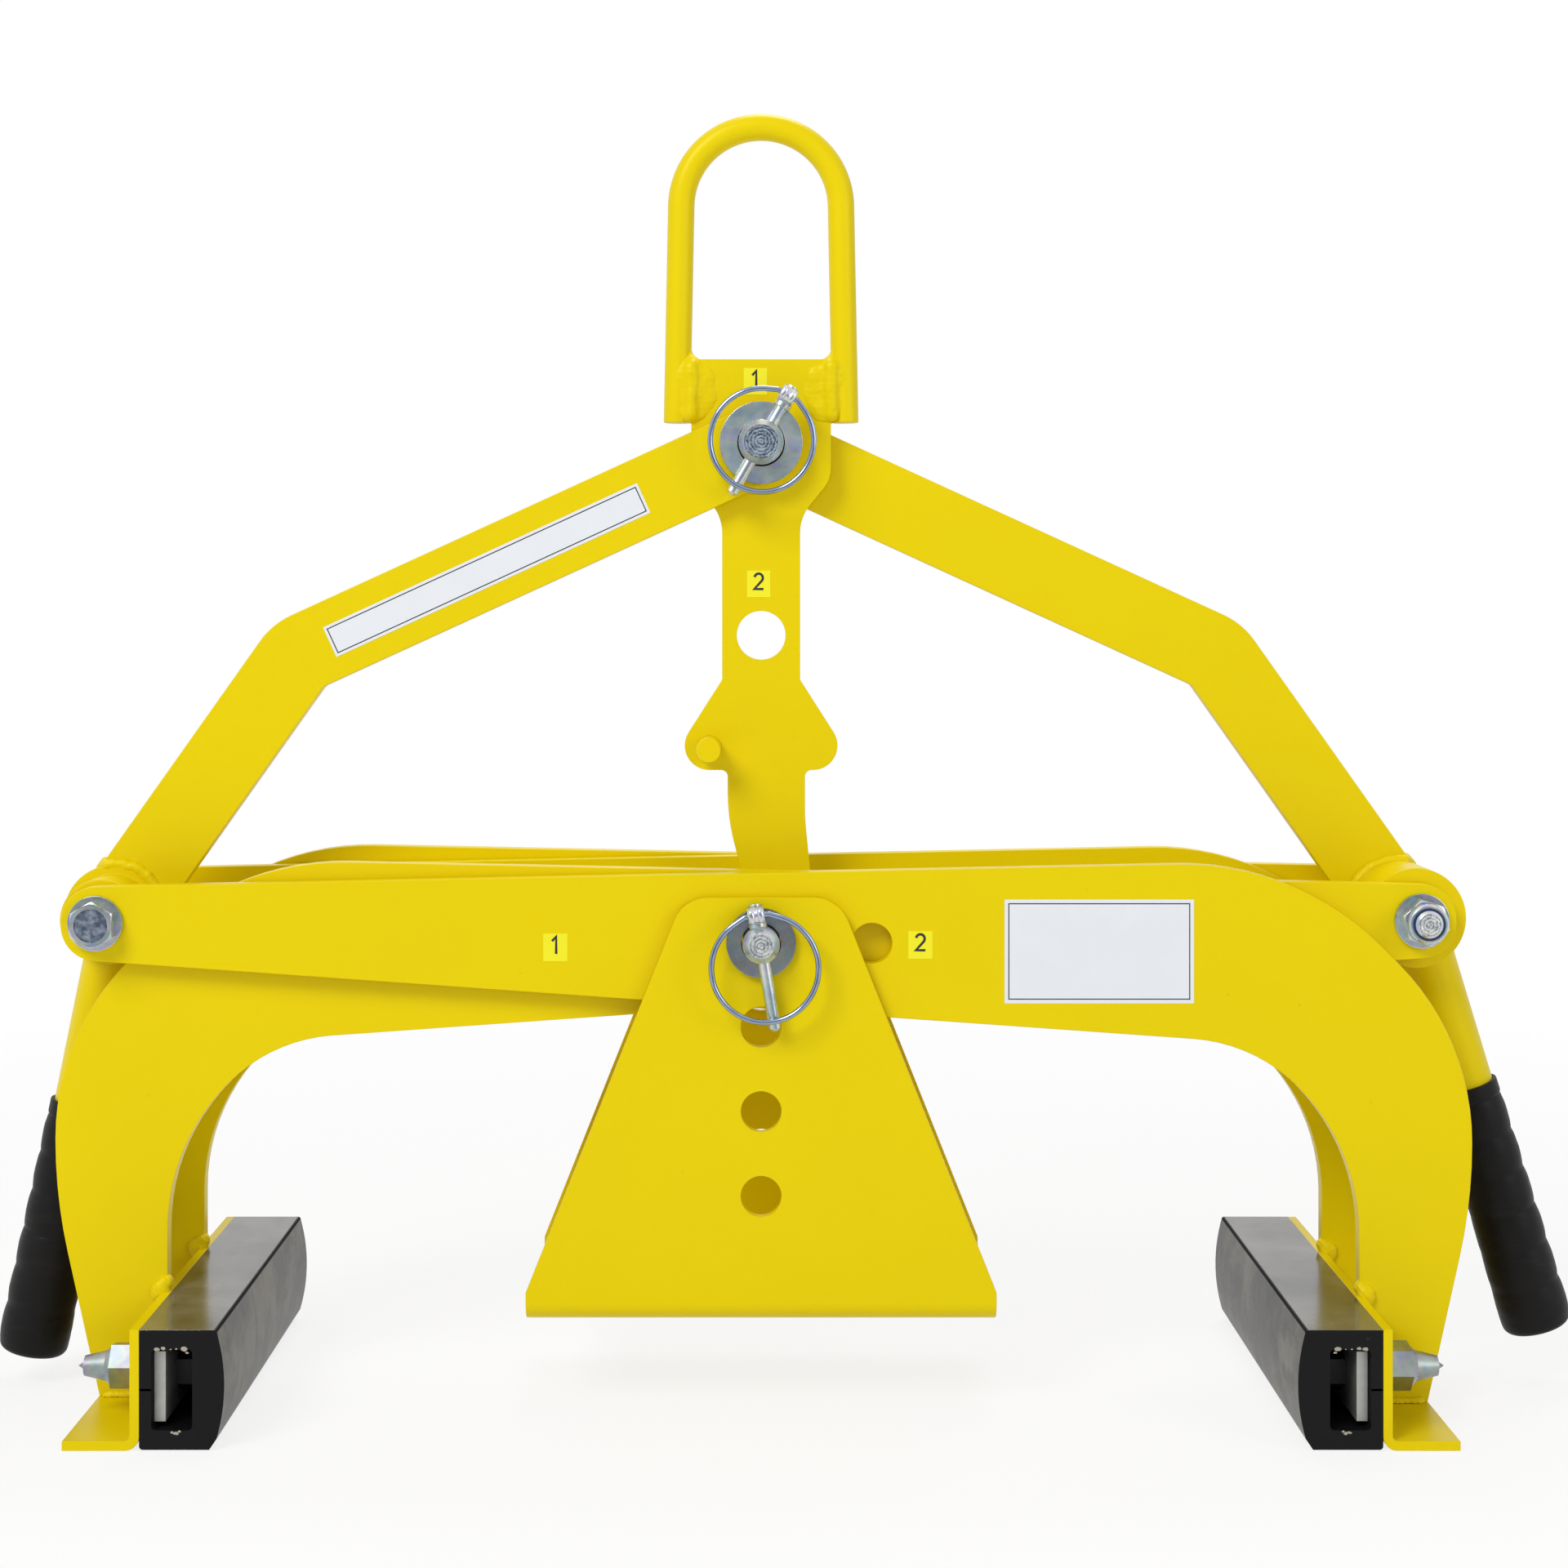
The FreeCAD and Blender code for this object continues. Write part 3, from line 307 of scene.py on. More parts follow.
def stamped_steel():
    """The sunk face of a bolt's head, rough from the press."""
    finish = Finish("stamped_steel")
    grain = finish.noise(520, 5, 0.7)
    cloud = finish.noise(210, 2)
    shade = band(finish, grain * 0.5 + cloud * 0.5, 0.38, 0.66)
    finish.surface(
        Base_Color=finish.mix(shade, stamped_dark, stamped_light),
        Metallic=1.0,
        Roughness=0.36 + grain * 0.2,
        Normal=finish.bump(grain, 0.4 * mm, 0.4),
    )
    return finish.material


def nylon_blue():
    """The plastic ring that keeps a locking nut from turning."""
    finish = Finish("nylon_blue")
    finish.surface(
        Base_Color=nylon_colour,
        Roughness=0.35 + finish.noise(200, 2) * 0.1,
    )
    return finish.material


def blackened_steel():
    """The bolts inside the pads, near black as painted shade where little light reaches them in the slot."""
    finish = Finish("blackened_steel")
    finish.surface(
        Base_Color=slot_shade_black,
        Metallic=0.5,
        Roughness=0.45 + finish.noise(200, 3) * 0.1,
    )
    return finish.material


def turned_steel(name, joint, dark, light):
    """The sawn and turned end of a pin, with rings round its axis."""
    finish = Finish(name)
    pivot = joints[joint]["pos_m"]
    inputs = {"Vector": finish.place, "Location": (-pivot[0], 0, -pivot[2]), "Scale": (1, 0, 1)}
    centred = finish.node("ShaderNodeMapping", inputs=inputs, output="Vector")
    settings = {"wave_type": "RINGS", "rings_direction": "SPHERICAL"}
    inputs = {"Vector": centred, "Scale": ring_scale, "Distortion": 6.0}
    inputs.update({"Detail": 3.0, "Detail Scale": 4.0})
    rings = finish.node("ShaderNodeTexWave", settings, inputs, "Fac")
    cloud = finish.noise(300, 4, 0.65)
    shade = band(finish, cloud * 0.8 + rings * 0.2, 0.34, 0.66)
    finish.surface(
        Base_Color=finish.mix(shade, dark, light),
        Metallic=1.0,
        Roughness=0.26 + rings * 0.12,
        Normal=finish.bump(rings + cloud, 0.2 * mm, 0.35),
    )
    return finish.material


def bar_steel():
    """Bare rolled bar, with its grain along Y."""
    finish = Finish("bar_steel")
    grain = finish.noise(240, 4, 0.6, finish.stretched((1, 0.05, 1)))
    finish.surface(
        Base_Color=finish.mix(grain, steel_dark, steel_light),
        Metallic=0.9,
        Roughness=0.42 + grain * 0.15,
        Normal=finish.bump(grain, 0.2 * mm, 0.3),
    )
    return finish.material


print("zinc", zinc_grey, "to", zinc_light)

# %% [markdown]
# ## Rubber
# The pads are cut from a long moulding: their sawn ends are deep black and shine, and their long
# faces are grey from stone dust, with scratches. Their corners are worn black again, and the inside
# of each slot has the same black as painted shade. So one pad has five finishes, for its side, top,
# corners and slot, sawn ends and the rims of those. The hand grips are a softer rubber, dull and
# almost black, with a finish of their own.

# %% Rubber
rubber_black = (0.004, 0.004, 0.005)
rubber_worn = (0.155, 0.15, 0.135)
rubber_scraped = (0.04, 0.04, 0.036)
rubber_flash = (0.42, 0.38, 0.30)
rubber_dust = (0.10, 0.085, 0.06)
grip_black = (0.004, 0.004, 0.004)
grip_dull = (0.014, 0.013, 0.013)


def pad_end_rubber():
    """A sawn end: deep black and glossy, with fine saw marks and a little dust."""
    finish = Finish("pad_end_rubber")
    scratch = finish.noise(210, 5, 0.65)
    cut = finish.noise(520, 3, 0.5, finish.stretched((1, 1, 0.2)))
    finish.surface(
        Base_Color=finish.mix(band(finish, scratch, 0.66, 0.78) * 0.6, rubber_black, rubber_dust),
        Specular_IOR_Level=0.16,
        Roughness=0.14 + scratch * 0.18,
        Normal=finish.bump(cut + scratch, 0.4 * mm, 0.22),
    )
    return finish.material


def pad_rim_rubber():
    """The rounded rim of a sawn end, polished by handling."""
    finish = Finish("pad_rim_rubber")
    finish.surface(
        Base_Color=rubber_black,
        Specular_IOR_Level=1.0,
        IOR=2.6,
        Roughness=0.10 + finish.noise(80, 3) * 0.1,
    )
    return finish.material


def pad_top_rubber():
    """The moulded top face, smooth enough to mirror the plate that stands over it."""
    finish = Finish("pad_top_rubber")
    cloud = finish.noise(30, 4, 0.6)
    smear = finish.noise(60, 5, 0.65, finish.stretched((1.6, 0.4, 1)))
    dusty = finish.mix(band(finish, cloud, 0.30, 0.75), rubber_scraped, rubber_worn)
    finish.surface(
        Base_Color=finish.mix(band(finish, smear, 0.55, 0.75) * 0.4, dusty, rubber_black),
        Specular_IOR_Level=0.75,
        Roughness=0.10 + smear * 0.14,
        Normal=finish.bump(smear, 0.3 * mm, 0.12),
    )
    return finish.material


def pad_side_rubber():
    """The moulded side face: dusty, blotched and rubbed by the stones it has held."""
    finish = Finish("pad_side_rubber")
    cloud = finish.noise(24, 6, 0.62)
    fine = finish.noise(420, 4, 0.6)
    blotch = band(finish, finish.noise(60, 6, 0.7, finish.stretched((1, 0.45, 1))), 0.50, 0.66)
    streak = band(finish, finish.noise(75, 6, 0.7, finish.stretched((1, 2.6, 0.35))), 0.57, 0.66)
    dusty = finish.mix(band(finish, cloud, 0.36, 0.62), rubber_scraped, rubber_worn)
    finish.surface(
        Base_Color=finish.mix(blotch * 0.45 + streak * 0.4, dusty, rubber_black),
        Specular_IOR_Level=0.35,
        Roughness=0.28 + cloud * 0.26 + fine * 0.08,
        Normal=finish.bump(fine + cloud, 0.4 * mm, 0.25),
    )
    return finish.material


def pad_edge_rubber():
    """The worn corner lines of the moulding, dull and black, and the inside of the slot, black as painted shade.
    """
    finish = Finish("pad_edge_rubber")
    finish.surface(
        Base_Color=rubber_black,
        Specular_IOR_Level=0.08,
        Roughness=0.6 + finish.noise(90, 3) * 0.2,
    )
    return finish.material


def grip_rubber():
    """The soft rubber of a grip, with fine creases round it."""
    finish = Finish("grip_rubber")
    fine = finish.noise(900, 3, 0.6)
    cloud = finish.noise(45, 4, 0.6)
    crease = band(finish, finish.noise(60, 5, 0.6, finish.stretched((0.35, 0.35, 2.2))), 0.56, 0.72)
    finish.surface(
        Base_Color=finish.mix(cloud * 0.6 + crease * 0.3, grip_black, grip_dull),
        Specular_IOR_Level=0.14,
        Roughness=0.38 + cloud * 0.15,
        Normal=finish.bump(fine * 0.4 + crease, 0.6 * mm, 0.30),
    )
    return finish.material


print("rubber", rubber_black, "to", rubber_worn)

# %% [markdown]
# ## Labels
# Small bright squares mark the two settings of each pin with a plain number. One link and one
# jaw have a blank white label each, with a thin printed border.

# %% Label finishes
vinyl_yellow = (0.93, 0.86, 0.0)
vinyl_white = (0.80, 0.83, 0.88)
ink_black = (0.02, 0.02, 0.02)
vinyl_fade = 0.93


def plain_vinyl(name, colour, roughness):
    """A printed or torn film of one colour, a little darker in clouds."""
    finish = Finish(name)
    cloud = finish.noise(60, 3)
    darker = tuple(vinyl_fade * part for part in colour)
    finish.surface(
        Base_Color=finish.mix(cloud, colour, darker),
        Roughness=roughness + cloud * 0.08,
        Normal=finish.bump(finish.noise(300, 2), 0.2 * mm, 0.05),
    )
    return finish.material


print("vinyl", vinyl_yellow, "and", vinyl_white)

# %% Make every finish once
pin_tones = {
    "main": ((0.34, 0.38, 0.40), (0.85, 0.86, 0.82)),
    "top": ((0.10, 0.13, 0.18), (0.46, 0.52, 0.60)),
    "bolt": ((0.36, 0.40, 0.42), (0.90, 0.88, 0.84)),
}
finishes = {
    "yellow_paint": yellow_paint(),
    "zinc_plate": zinc("zinc_plate"),
    # Painted shade: a darker copy of the zinc for the washers in the stop's shade.
    "zinc_shaded": zinc("zinc_shaded", shade=0.5),
    "zinc_dull": zinc("zinc_dull", shade=0.62, roughness=0.34),
    "blackened_steel": blackened_steel(),
    "stamped_steel": stamped_steel(),
    "nylon_blue": nylon_blue(),
    "spring_wire": spring_wire(),
    "main_pin_end": turned_steel("main_pin_end", "right_jaw_close", *pin_tones["main"]),
    "top_pin_end": turned_steel("top_pin_end", "hanger_swing", *pin_tones["top"]),
    "bolt_end": turned_steel("bolt_end", "right_link_turn", *pin_tones["bolt"]),
    "bar_steel": bar_steel(),
    "pad_rubber": pad_side_rubber(),
    "pad_top_rubber": pad_top_rubber(),
    "pad_end_rubber": pad_end_rubber(),
    "pad_rim_rubber": pad_rim_rubber(),
    "pad_edge_rubber": pad_edge_rubber(),
    "grip_rubber": grip_rubber(),
    "rubber_flash": plain_vinyl("rubber_flash", rubber_flash, 0.7),
    "label_yellow": plain_vinyl("label_yellow", vinyl_yellow, 0.35),
    "label_white": plain_vinyl("label_white", vinyl_white, 0.35),
    "label_ink": plain_vinyl("label_ink", ink_black, 0.45),
}
print(len(finishes), "finishes")

# %% [markdown]
# ## Soft edges on every plate
# A cut and painted plate has no razor edge: the paint rounds it, and that thin rounding is what
# catches the light along every edge in the photograph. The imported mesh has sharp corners, so each
# piece is copied, its loose triangles are merged into clean faces, and its sharp edges are bevelled.

# %% Copy, clean and bevel a node
sharp_angle = math.radians(32)
flat_angle = math.radians(0.4)
merge_reach = 0.004 * mm
sunk_depth = 1.0 * mm
off_axis = Vector((1, 0, 1))
flat_lean = 0.999


def in_end(edge):
    """Whether an edge lies in a face at the front or rear end of a piece."""
    return all(abs(face.normal.y) > flat_lean for face in edge.link_faces)


def merged_copy(node, ends_too=True):
    """A node's mesh with its doubled corners merged and its flat areas cleared of triangles.

    Ends with a hole through them may keep theirs, because one face can't go round a hole.
    """
    mesh = bmesh.new()
    mesh.from_mesh(nodes[node].data)
    bmesh.ops.remove_doubles(mesh, verts=mesh.verts, dist=merge_reach)
    bmesh.ops.dissolve_limit(
        mesh,
        angle_limit=flat_angle,
        verts=mesh.verts if ends_too else [],
        edges=[edge for edge in mesh.edges if ends_too or not in_end(edge)],
        delimit={"NORMAL"},
    )
    return mesh


def bevel_sharp(mesh, width, segments=2, some=None):
    """Rounds the edges, or some of them, where two faces meet at a clear angle."""
    solid = [edge for edge in some or mesh.edges if edge.is_manifold]
    edges = [edge for edge in solid if edge.calc_face_angle() > sharp_angle]
    bmesh.ops.bevel(
        mesh,
        geom=edges,
        offset=width,
        offset_type="OFFSET",
        segments=segments,
        profile=0.5,
        affect="EDGES",
        clamp_overlap=True,
        material=-1,
    )


def object_of(name, mesh, *materials):
    """Makes an object of a mesh with its materials, and lets the mesh go."""
    data = bpy.data.meshes.new(name)
    mesh.to_mesh(data)
    mesh.free()
    made = bpy.data.objects.new(name, data)
    bpy.context.scene.collection.objects.link(made)
    for material in materials:
        data.materials.append(material)
    return made


def piece(name, mesh, body, slot, *names):
    """Makes an object of a mesh, gives it the finishes of those names and lets it ride on a body."""
    made = object_of(name, mesh, *[finishes[finish] for finish in names])
    made.data.shade_smooth()
    made.data.set_sharp_from_angle(angle=sharp_angle)
    weighted = made.modifiers.new("weighted_normal", "WEIGHTED_NORMAL")
    weighted.keep_sharp = True
    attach(made, body)
    return made


def dressed(node, width, *names, disc=None):
    """A bevelled copy stands for a node. A disc at its front, if any, has the second finish."""
    mesh = merged_copy(node)
    bevel_sharp(mesh, width)
    if disc:
        centre, radius = disc
        front_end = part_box(node)[0][1]
        for face in mesh.faces:
            reach = max(((vert.co - centre) * off_axis).length for vert in face.verts)
            in_front = face.calc_center_median().y < front_end + sunk_depth
            face.material_index = int(in_front and reach < radius)
    slot = slot_of[node]
    copy = piece(node + "_finished", mesh, body_of[node], slot, *(names or [slot]))
    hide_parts(node)


print("edges are sharp from", round(math.degrees(sharp_angle)), "degrees")

# %% [markdown]
# ## Plates, links and feet
# The jaws, links, hanger, stop and feet are plate of 4 to 10 mm. Their paint rounds the edges by
# about half a millimetre. The bosses and tubes get the same paint.

# %% Painted pieces
plate_edge = 0.55 * mm
painted = [name for name in nodes if slot_of[name] == "yellow_paint" and "welds" not in name]
for name in painted:
    dressed(name, plate_edge)
print(len(painted), "painted pieces")

# %% [markdown]
# ## Bolts, pins and washers
# Turned and pressed parts have finer edges. The washer behind the main linch pin lies in the
# shade of the stop, so its zinc is painted darker as painted shade, the bolts inside the pads are
# painted near black as painted shade, and the cone nuts on the feet are dull. The front ends of
# pins and bolts are turned or stamped, so a disc of faces there has a finish of its own.

# %% Zinc pieces
zinc_edge = 0.35 * mm
bar_edge = 1.2 * mm
zinc_finishes = {
    # Painted shade: the main pin's washers are darker zinc.
    "main_pin_washers": ("zinc_shaded",),
    "left_cone_nuts": ("zinc_dull",),
    "right_cone_nuts": ("zinc_dull",),
    # Painted shade: the bolts in the pads' slots are near black.
    "left_pad_bolts": ("blackened_steel",),
    "right_pad_bolts": ("blackened_steel",),
}
# A disc has a finish, the joint at its middle and a radius.
end_discs = {
    "main_pin": ("main_pin_end", "right_jaw_close", 5.6 * mm),
    "top_pin": ("top_pin_end", "hanger_swing", 7.6 * mm),
    "left_pivot_bolt": ("stamped_steel", "left_link_turn", 7.5 * mm),
    "right_pivot_bolt": ("bolt_end", "right_link_turn", 4.9 * mm),
}
zinc_names = [name for name in nodes if slot_of[name] == "zinc_plate" and "ring" not in name]
for name in zinc_names:
    if name in end_discs:
        finish, joint, radius = end_discs[name]
        dressed(name, zinc_edge, "zinc_plate", finish, disc=(Vector(joints[joint]["pos_m"]), radius))
    else:
        dressed(name, zinc_edge, *zinc_finishes.get(name, ()))
for name in ("left_pad_bar", "right_pad_bar"):
    dressed(name, bar_edge)
print(len(zinc_names), "zinc pieces")

# %% [markdown]
# The nuts at the outer pivots are locking nuts: a plastic ring sits in the rolled collar and grips
# the bolt's thread. It is a half-round ring, spun round the bolt's axis.

# %% Plastic rings of the locking nuts
insert_inside = 6.0 * mm
insert_outside = 7.1 * mm
insert_height = 0.45 * mm
insert_sunk = 0.6 * mm
insert_arc_steps = 8
insert_steps = 64


def spun(mesh, spots, centre, axis, steps):
    """Spins a chain of points round an axis into a closed skin."""
    chain = [mesh.verts.new(spot) for spot in spots]
    edges = [mesh.edges.new(pair) for pair in zip(chain, chain[1:])]
    bmesh.ops.spin(
        mesh,
        geom=chain + edges,
        cent=centre,
        axis=axis,
        angle=math.tau,
        steps=steps,
        use_merge=True,
    )


def nut_insert(name, joint, outward):
    """A low ring on the outer end of a nut. Outward is the way from the nut to its open end."""
    low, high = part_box(name)
    end = low[1] if outward < 0 else high[1]
    centre = Vector(joints[joint]["pos_m"])
    centre.y = end - outward * insert_sunk
    middle = (insert_inside + insert_outside) / 2
    half = (insert_outside - insert_inside) / 2
    spots = []
    for step in range(insert_arc_steps + 1):
        turn = math.pi * step / insert_arc_steps
        height = outward * insert_height * math.sin(turn)
        spots.append(centre + Vector((middle + half * math.cos(turn), height, 0)))
    mesh = bmesh.new()
    spun(mesh, spots, centre, along_y, insert_steps)
    bmesh.ops.recalc_face_normals(mesh, faces=mesh.faces)
    piece(name + "_insert", mesh, body_of[name], "zinc_plate", "nylon_blue")


nut_insert("left_pivot_nut", "left_link_turn", 1)
nut_insert("right_pivot_nut", "right_link_turn", -1)
print("2 plastic rings,", 2 * insert_inside / mm, "mm inside")

# %% [markdown]
# ## Grips
# Each grip is a rubber sleeve pushed over the handle's tube. Its finger waves are deep on the
# outer side and shallow on the inner one, so the sleeve isn't a plain turned shape: it is spun
# first, and then each of its points moves out by its height and its side.

# %% Grips
handle_pivots = {"left": "left_link_turn", "right": "right_link_turn"}
handle_sides = {"left": -1, "right": 1}
handle_leans = {"left": math.radians(11.5), "right": math.radians(16.8)}
handle_shifts = {"left": 0.0, "right": 5.4 * mm}
handle_reaches = {"left": 202.0 * mm, "right": 195.5 * mm}
grip_length = 114.0 * mm
grip_bore = 12.6 * mm
grip_root = 13.65 * mm
grip_taper = 1.4 * mm
grip_collar = 14.3 * mm
grip_collar_length = 7.0 * mm
grip_lip = 0.6 * mm
grip_end_radius = 3.6 * mm
grip_body_length = grip_length - grip_collar_length - grip_end_radius
grip_bumps = 6
bump_outside = 0.95 * mm
bump_inside = 0.30 * mm
bump_fullness = 0.6
crease_depth = 0.12 * mm
crease_size = 9 * mm
crease_squeeze = 3
grip_steps = 96
grip_rows = 110
grip_end_steps = 7
seam_reach = 0.01 * mm


def grip_profile():
    """The grip's half section, from the mouth of its bore, over the collar, to its closed end."""
    chamfer = grip_lip / 4
    spots = [(grip_bore, 2 * grip_lip), (grip_bore, grip_lip / 2), (grip_bore + grip_lip / 2, 0)]
    spots += [(grip_collar - grip_lip, 0), (grip_collar - chamfer, chamfer)]
    spots += [(grip_collar, grip_lip), (grip_collar, grip_collar_length - 2 * grip_lip)]
    spots.append((grip_collar - chamfer, grip_collar_length - grip_lip))
    for row in range(grip_rows + 1):
        share = row / grip_rows
        spots.append((grip_root + grip_taper * share, grip_collar_length + grip_body_length * share))
    rim = grip_root + grip_taper - grip_end_radius
    for step in range(1, grip_end_steps + 1):
        turn = math.radians(90 * step / grip_end_steps)
        height = grip_length - grip_end_radius * (1 - math.sin(turn))
        spots.append((rim + grip_end_radius * math.cos(turn), height))
    spots += [(rim / 2, grip_length), (0, grip_length)]
    return spots


def finger_wave(height):
    """0 in a notch and 1 on a wave's crest."""
    place = (height - grip_collar_length) / grip_body_length * grip_bumps
    if not 0 < place < grip_bumps:
        return 0
    return abs(math.sin(math.pi * place)) ** bump_fullness


def grip(side):
    """A sleeve made upright on the origin and then laid along its handle."""
    mesh = bmesh.new()
    spots = [(radius, 0, height) for radius, height in grip_profile()]
    spun(mesh, spots, (0, 0, 0), along_z, grip_steps)
    bmesh.ops.remove_doubles(mesh, verts=mesh.verts, dist=seam_reach)
    for vert in mesh.verts:
        radius = vert.co.xy.length
        if radius > grip_root - grip_lip:
            outward = 0.5 + 0.5 * vert.co.x / radius
            swell = finger_wave(vert.co.z) * (bump_inside + (bump_outside - bump_inside) * outward)
            spot = Vector((vert.co.x, vert.co.y, crease_squeeze * vert.co.z))
            crease = crease_depth * noise.noise(spot / crease_size)
            vert.co.xy *= (radius + swell + crease) / radius
    bmesh.ops.recalc_face_normals(mesh, faces=mesh.faces)
    lean = handle_leans[side]
    sign = handle_sides[side]
    way = Vector((sign * math.sin(lean), 0, -math.cos(lean)))
    outward = Vector((sign * math.cos(lean), 0, math.sin(lean)))
    start = Vector(joints[handle_pivots[side]]["pos_m"]) + along_x * sign * handle_shifts[side]
    base = start + way * (handle_reaches[side] - grip_length)
    turn = Matrix((outward, way.cross(outward), way)).transposed().to_4x4()
    mesh.transform(Matrix.Translation(base) @ turn)
    name = side + "_handle_grip"
    made = piece(name + "_rubber", mesh, body_of[name], "grip_rubber", "grip_rubber")
    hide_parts(name)


for side in handle_sides:
    grip(side)
print("grips", grip_length / mm, "mm long")

# %% [markdown]
# ## Pads
# A pad is a length of hollow rubber moulding, sawn off at both ends. The sawn ends are black and
# glossy and the moulded faces are dusty, so each face's finish follows from where it lies. A slot
# runs through the pad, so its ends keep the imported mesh's triangles. Short edges round the slot
# and the bolt holes hold the bevel back, so a pad's edges stay very fine.

# %% Rubber pads
# The most that the bevels could take from an edge.
pad_edge = 1.0 * mm
rim_edge = 3.0 * mm
rim_steps = 6
pad_steps = 3
end_slack = 0.05 * mm
rim_lean = 0.1
end_lean = 0.99
slot_middle = (244.0 * mm, 25.2 * mm)
slot_half = (8.9 * mm, 17.2 * mm)
pad_finishes = ("pad_rubber", "pad_end_rubber", "pad_edge_rubber", "pad_top_rubber", "pad_rim_rubber")


def along_corner(edge, corner):
    """Whether an edge lies along the top of a sawn end."""
    spots = [Vector((0, abs(vert.co.y), vert.co.z)) for vert in edge.verts]
    return all((spot - corner).length < end_slack for spot in spots)


def pad_face_finish(face, half_length):
    """Which of the pad's finishes a face has, by where it lies and which way it looks."""
    spot = face.calc_center_median()
    across = abs(abs(spot.x) - slot_middle[0])
    from_end = half_length - abs(spot.y)
    if from_end < end_slack and abs(face.normal.y) > flat_lean:
        return "pad_end_rubber"
    # Inside the slot the faces are painted black as painted shade.
    if across < slot_half[0] and abs(spot.z - slot_middle[1]) < slot_half[1]:
        return "pad_edge_rubber"
    if from_end < rim_edge and abs(face.normal.y) > rim_lean:
        return "pad_rim_rubber" if face.normal.z > abs(face.normal.x) else "pad_end_rubber"
    if face.normal.z > flat_lean:
        return "pad_top_rubber"
    rounded = min(edge.calc_length() for edge in face.edges) < pad_edge
    return "pad_edge_rubber" if rounded and len(face.verts) == 4 else "pad_rubber"


for side in handle_sides:
    name = side + "_pad"
    mesh = merged_copy(name, ends_too=False)
    half_length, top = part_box(name)[1][1:]
    corner = Vector((0, half_length, top))
    rims = [edge for edge in mesh.edges if along_corner(edge, corner)]
    bevel_sharp(mesh, rim_edge, rim_steps, rims)
    bevel_sharp(mesh, pad_edge, pad_steps)
    bmesh.ops.recalc_face_normals(mesh, faces=mesh.faces)
    for face in mesh.faces:
        face.material_index = pad_finishes.index(pad_face_finish(face, half_length))
        # Each face that looks to the front or rear is put on the sawn plane.
        if abs(face.normal.y) > end_lean:
            for vert in face.verts:
                vert.co.y = math.copysign(half_length, vert.co.y)
    made = piece(name + "_rubber", mesh, body_of[name], "pad_rubber", *pad_finishes)
    for polygon in made.data.polygons:
        polygon.use_smooth = abs(polygon.normal.y) < flat_lean
    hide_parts(name)
print(len(handle_sides), "pads", 2 * half_length / mm, "mm long")

# %% [markdown]
# The saw leaves a few pale crumbs of torn rubber round the slot. Blender draws its noise vectors
# from the clock unless they have a seed, so one is set here and each run gives the same crumbs.

# %% Crumbs of rubber
# A crumb's place across and up, and its radius, in millimetres
crumb_spots = [(-247.0, 42.4, 1.0), (-249.6, 42.1, 1.3), (-238.3, 42.2, 1.5), (-237.2, 40.6, 0.8)]
crumb_spots += [(-244.0, 42.0, 0.5), (-241.5, 42.1, 0.5), (-243.2, 7.6, 0.9)]
crumb_spots += [(-241.6, 7.3, 1.1), (-240.3, 8.1, 0.7)]
crumb_flat = 0.45
crumb_tall = 0.63
crumb_dent = 0.3 * mm
crumb_grain = 0.8 * mm
crumb_seed = 7
noise.seed_set(crumb_seed)
for side, sign in handle_sides.items():
    name = side + "_pad"
    front_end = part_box(name)[0][1]
    mesh = bmesh.new()
    for across, height, size in crumb_spots:
        place = Matrix.Translation((-sign * across * mm, front_end, height * mm))
        matrix = place @ Matrix.Diagonal((1, crumb_flat, crumb_tall, 1))
        bmesh.ops.create_icosphere(mesh, subdivisions=2, radius=size * mm, matrix=matrix)
    for vert in mesh.verts:
        vert.co += crumb_dent * noise.noise_vector(vert.co / crumb_grain)
    piece(name + "_crumbs", mesh, body_of[name], "pad_rubber", "rubber_flash")
print(len(crumb_spots), "crumbs on each pad")

# %% [markdown]
# ## Rings
# A linch pin's ring is one length of spring wire. It runs from inside the pin's head, turns through
# a small bend and goes round in nearly a full circle to the head's other side. One list of points
# gives that way, and a round section is carried along it.

# %% Spring rings
ring_radius = 22.9 * mm
wire_radius = 1.25 * mm
ring_head_half = 3.5 * mm
shank_radius = 2.75 * mm
ring_bend_gap = 0.3 * mm
ring_end_inside = 0.3 * mm
ring_bend_radius = 1.6 * mm
ring_bend_steps = 8
ring_bend_share = 0.9
ring_arc_steps = 120
ring_arc_cut = 4
wire_sides = 20


def wire_mesh(points, radius, across):
    """A round wire along points that lie in one plane. Its ends are closed."""
    mesh = bmesh.new()
    rings = []
    for index, point in enumerate(points):
        before = points[max(index - 1, 0)]
        after = points[min(index + 1, len(points) - 1)]
        way = (after - before).normalized()
        side = way.cross(across).normalized()
        turns = [math.tau * step / wire_sides for step in range(wire_sides)]
        spots = [point + radius * (math.cos(turn) * side + math.sin(turn) * across) for turn in turns]
        verts = [mesh.verts.new(spot) for spot in spots]
        rings.append([mesh.edges.new(pair) for pair in zip(verts, verts[1:] + verts[:1])])
    for first, second in zip(rings, rings[1:]):
        bmesh.ops.bridge_loops(mesh, edges=first + second)
    for ring in (rings[0], rings[-1]):
        bmesh.ops.contextual_create(mesh, geom=ring)
    bmesh.ops.recalc_face_normals(mesh, faces=mesh.faces)
    return mesh


def rounded_corner(before, corner, after, radius):
    """Points of a bend between two straight runs."""
    first = (before - corner).normalized()
    second = (after - corner).normalized()
    half = first.angle(second) / 2
    shorter = min((before - corner).length, (after - corner).length)
    reach = min(radius / math.tan(half), ring_bend_share * shorter)
    start = corner + first * reach
    end = corner + second * reach
    points = []
    for step in range(ring_bend_steps + 1):
        share = step / ring_bend_steps
        points.append(start.lerp(corner, share).lerp(corner.lerp(end, share), share))
    return points


